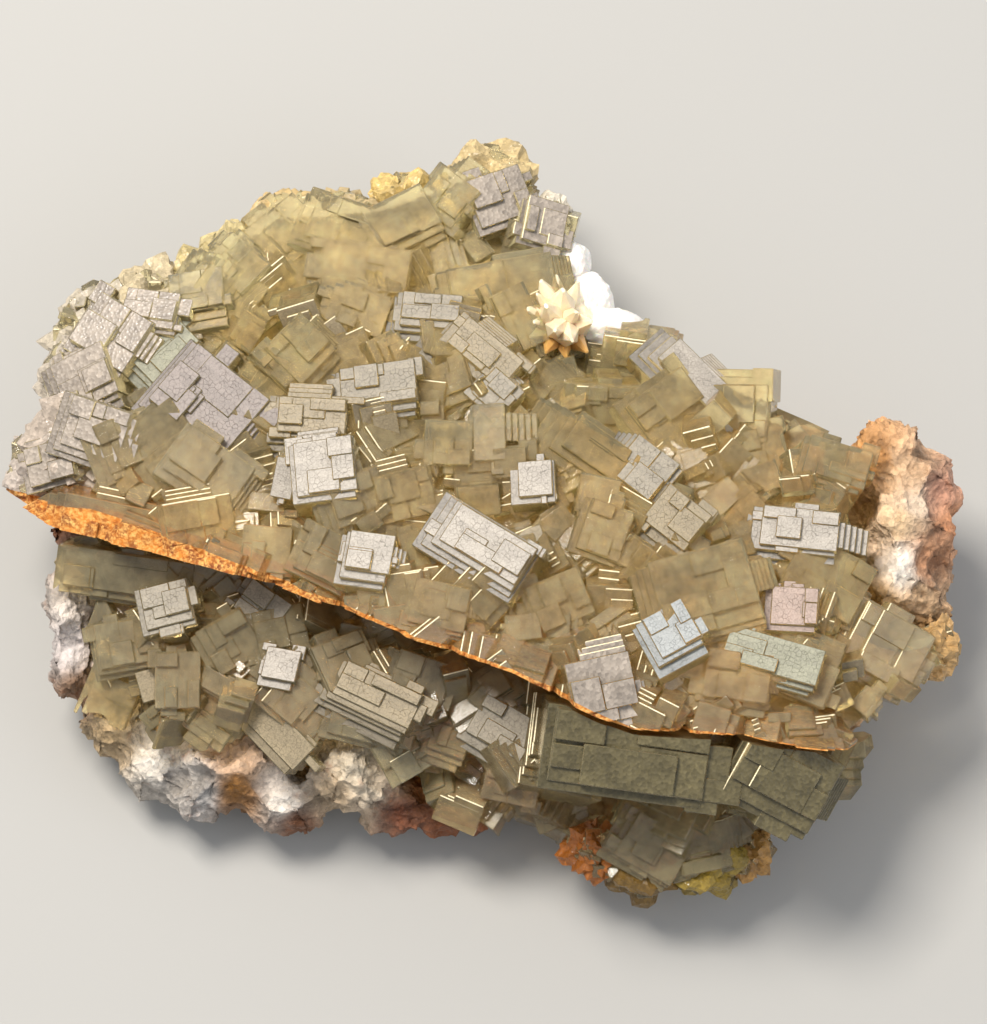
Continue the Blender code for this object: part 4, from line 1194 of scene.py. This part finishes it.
# %% Rock skin
ROCK_VOXEL = 0.54 * MM
# Along the lower margin the dark red-browns are partly rust and partly painted shade on the rock's
# front side.
ROCK_ZONES = zones(
    (73, 600, "D8CCC0"), (70, 650, "D9CFCB"), (78, 690, "8A6A50"), (120, 705, "C8B48C"),
    (110, 740, "B79C74"), (152, 764, "E4DCD0"), (182, 784, "CFC6BC"), (206, 803, "B8B4B0"),
    (232, 755, "C9A98C"), (233, 796, "A06A20"), (284, 806, "DED6CC"), (300, 832, "7A4A28"),
    (330, 798, "C0A888"), (354, 764, "DCCDB4"), (372, 790, "D8C8B0"), (400, 815, "6E3A1E"),
    (450, 812, "7A4322"), (448, 780, "C87A30"), (530, 815, "5A2C14"), (600, 860, "A05C28"),
    (870, 455, "DCA062"), (905, 470, "E2BC94"), (945, 492, "D9A084"), (900, 520, "DDBD94"),
    (905, 570, "F2E9DC"), (935, 560, "D0966C"), (925, 600, "DAB48A"), (880, 600, "CFA670"),
    (958, 520, "CE9066"), (940, 640, "BE8E54"), (920, 500, "EDD6BC"),
    (500, 150, "D6C6A4"), (250, 200, "D2C2A2"), (60, 350, "C8B89E"), (700, 340, "D6C49C"),
    (30, 520, "8A5024"))


def pixel_of(point):
    """The pixel at which a point is seen."""
    ray = point - EYE
    depth = -ray.dot(TOWARDS)
    scale = VIEW_DISTANCE / depth / METRES_PER_PIXEL
    return (FRAME_CENTRE[0] + ray.dot(RIGHT) * scale, FRAME_CENTRE[1] - ray.dot(UP) * scale)


def broken(co):
    """How far rock stands in at a point, in mm: crystal-sized blocks, then knobs and grit."""
    warp = noise.noise_vector(co / (5 * MM)) * 0.9
    big = noise.cell(co / (3.4 * MM) + warp)
    small = noise.cell((co + co.yzx * 0.6) / (1.3 * MM) + warp * 2)
    knobs = noise.noise(co / (4.5 * MM))
    grit = noise.noise(co / (0.9 * MM))
    return big * 0.45 + small * 0.35 + knobs * 0.8 + grit * 0.35


def rock_skin():
    """The rock's solid, remeshed finely, roughened inwards, tinted by place and darker in its
    hollows, as painted shade.
    """
    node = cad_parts["matrix_rock"]
    rock = bpy.data.objects.new("rock_skin", node.data.copy())
    scene.collection.objects.link(rock)
    bm = bmesh.new()
    bm.from_mesh(rock.data)
    bmesh.ops.remove_doubles(bm, verts=bm.verts, dist=1e-6)
    bm.to_mesh(rock.data)
    bm.free()
    rock.data.materials.clear()
    rock.data.materials.append(rock_finish)
    remesh = rock.modifiers.new("voxels", "REMESH")
    remesh.mode = "VOXEL"
    remesh.voxel_size = ROCK_VOXEL
    keep_result(rock)
    colours = rock.data.attributes.new(TINT, "FLOAT_COLOR", "POINT")
    normals = [v.normal.copy() for v in rock.data.vertices]
    for vert, normal, colour in zip(rock.data.vertices, normals, colours.data):
        co = vert.co.copy()
        inwards = broken(co) - 1.0
        if co.z > 0.6 * MM:
            vert.co = co + normal * min(0.25, inwards) * MM
        else:
            vert.co.z = max(co.z, 0.0)
        px, py = pixel_of(co)
        red, green, blue = weighted(ROCK_ZONES, px, py, 4.0, 8.0)
        # Darker where the rock is pushed in deeper: painted shade in the hollows, on top of a
        # random tone.
        shade = 1.05 + 0.4 * noise.noise(co / (6 * MM) + Vector((0, 5, 0))) + 0.2 * inwards
        colour.color = (red * shade, green * shade, blue * shade, 1)
    rock.data.shade_smooth()
    return rock


rock = rock_skin()
print("rock:", len(rock.data.polygons), "faces")

# %% [markdown]
# ## Calcite
# Calcite grew last, in a nook of the upper margin: a fan of dog-tooth crystals, each a
# six-sided spindle with a blunt point, and smooth white calcite beside them.

# %% Calcite cluster
CALCITE_HEART = (560, 326)
CALCITE_HEART_HEIGHT = 23.5
TEETH = [
    (528, 309, 31.0, 3.4), (541, 281, 30.5, 3.4), (546, 352, 30.0, 2.8), (563, 290, 33.0, 3.8),
    (587, 352, 29.0, 2.6), (592, 322, 31.5, 3.0), (530, 337, 29.0, 2.6), (572, 340, 33.0, 3.4),
    (556, 275, 28.5, 2.6), (546, 306, 33.5, 3.6), (537, 294, 31.0, 2.6), (555, 330, 34.0, 3.2),
    (576, 312, 32.5, 3.0), (534, 322, 30.5, 2.6), (566, 357, 29.0, 2.4), (578, 282, 29.5, 2.6)]


def tooth(foot, tip, width, tint, spin):
    """A dog-tooth: a six-sided spindle, widest below the middle, with a blunt point."""
    axis = tip - foot
    turn = axis.to_track_quat("Z", "Y").to_matrix().to_4x4()
    bm = bmesh.new()
    bmesh.ops.create_cone(bm, cap_ends=True, segments=6, radius1=width * 0.4,
                          radius2=width * 0.5, depth=axis.length * 0.5)
    lid = max(bm.faces, key=lambda f: f.calc_center_median().z)
    crown = bmesh.ops.extrude_discrete_faces(bm, faces=[lid])["faces"][0]
    bmesh.ops.translate(bm, verts=crown.verts, vec=(0, 0, axis.length * 0.5))
    bmesh.ops.scale(bm, vec=(0.2, 0.13, 1.0), verts=crown.verts)
    bmesh.ops.recalc_face_normals(bm, faces=bm.faces)
    paint_faces(bm, tint, 0)
    move = Matrix.Translation(foot) @ turn @ Matrix.Rotation(spin, 4, "Z")
    move = move @ Matrix.Translation((0, 0, axis.length * 0.25))
    bmesh.ops.transform(bm, matrix=move, verts=bm.verts)
    return solid("tooth", bm)


def calcite_cluster():
    """White lumps with a fan of teeth on them."""
    rng = random.Random(8)
    white = (*linear("FBF7F0"), 1)
    cream = linear("FBE9C8")
    parts = []
    for index, (px, py, height, *radii) in enumerate(CALCITE_LUMPS):
        sizes = [radius * MM * 0.96 for radius in radii]
        tint = (*cream, 1) if index == 3 else white
        parts.append(lump(place(px, py, height * MM), sizes, 200 + index, tint, 0, 4, 0.03))
    heart = place(*CALCITE_HEART, CALCITE_HEART_HEIGHT * MM)
    for index, (px, py, height, width) in enumerate(TEETH):
        tip = place(px, py, height * MM)
        light = rng.uniform(0.88, 1.05)
        own = linear("DDAA62") if py > 350 else cream
        tint = (*(min(1.0, c * light) for c in own), 1)
        parts.append(tooth(heart.lerp(tip, 0.15), tip, width * MM, tint, index * 0.7))
    cluster = unite(parts, "calcite_crystals")
    cluster.data.materials.clear()
    cluster.data.materials.append(calcite_finish)
    for polygon in cluster.data.polygons:
        polygon.material_index = 0
    cluster.data.shade_flat()
    return cluster


calcite = calcite_cluster()
print("calcite:", len(calcite.data.polygons), "faces")

# %% [markdown]
# ## Hand the pieces to the frame
# Each piece stands for the solid it was built over, and rides on the one body there is.

# %% Pieces onto the body, their solids hidden
for piece, node, slot in ((upper, "upper_fluorite", "golden_fluorite"),
                          (lower, "lower_fluorite", "smoky_fluorite"),
                          (rock, "matrix_rock", "iron_stained_rock"),
                          (calcite, "calcite_cluster", "cream_calcite")):
    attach(piece, "root")
    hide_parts(node)

# %% [markdown]
# ## Floor and light
# A pale floor, a large soft light from the far left, which the silver faces mirror back to
# the camera, a cool fill from the right, and an even grey sky.

# %% Floor
floor_mesh = bpy.data.meshes.new("floor")
bm = bmesh.new()
bmesh.ops.create_grid(bm, x_segments=1, y_segments=1, size=2.0)
bm.to_mesh(floor_mesh)
bm.free()
floor = bpy.data.objects.new("floor", floor_mesh)
scene.collection.objects.link(floor)
floor_finish = bpy.data.materials.new("matt_paper")
floor_finish.use_nodes = True
paper = floor_finish.node_tree.nodes["Principled BSDF"]
paper.inputs["Base Color"].default_value = (*linear("ABAAA7"), 1)
paper.inputs["Roughness"].default_value = 0.9
floor_mesh.materials.append(floor_finish)

# %% Lights


def softbox(name, aim, distance, size, power, colour):
    """A square area light that looks at the plate from a direction in the object's axes."""
    data = bpy.data.lights.new(name, "AREA")
    data.shape = "SQUARE"
    data.size = size
    data.energy = power
    data.color = linear(colour)
    lamp = bpy.data.objects.new(name, data)
    way = Vector(aim).normalized()
    lamp.matrix_world = (Matrix.Translation(TARGET + way * distance)
                         @ way.to_track_quat("Z", "Y").to_matrix().to_4x4())
    scene.collection.objects.link(lamp)
    return lamp


softbox("key", (-0.30, 0.24, 0.92), 0.7, 0.24, 6.6, "FFF8EE")
softbox("fill", (0.8, -0.3, 0.6), 0.9, 0.5, 1.2, "E8F0FF")
sky = bpy.data.worlds.new("sky")
sky.use_nodes = True
sky.node_tree.nodes["Background"].inputs["Color"].default_value = (0.8, 0.82, 0.85, 1)
sky.node_tree.nodes["Background"].inputs["Strength"].default_value = 0.78
scene.world = sky
scene.view_settings.view_transform = "Standard"
scene.cycles.max_bounces = 4
scene.cycles.transmission_bounces = 4
scene.cycles.diffuse_bounces = 2
scene.cycles.glossy_bounces = 2
scene.cycles.caustics_reflective = False
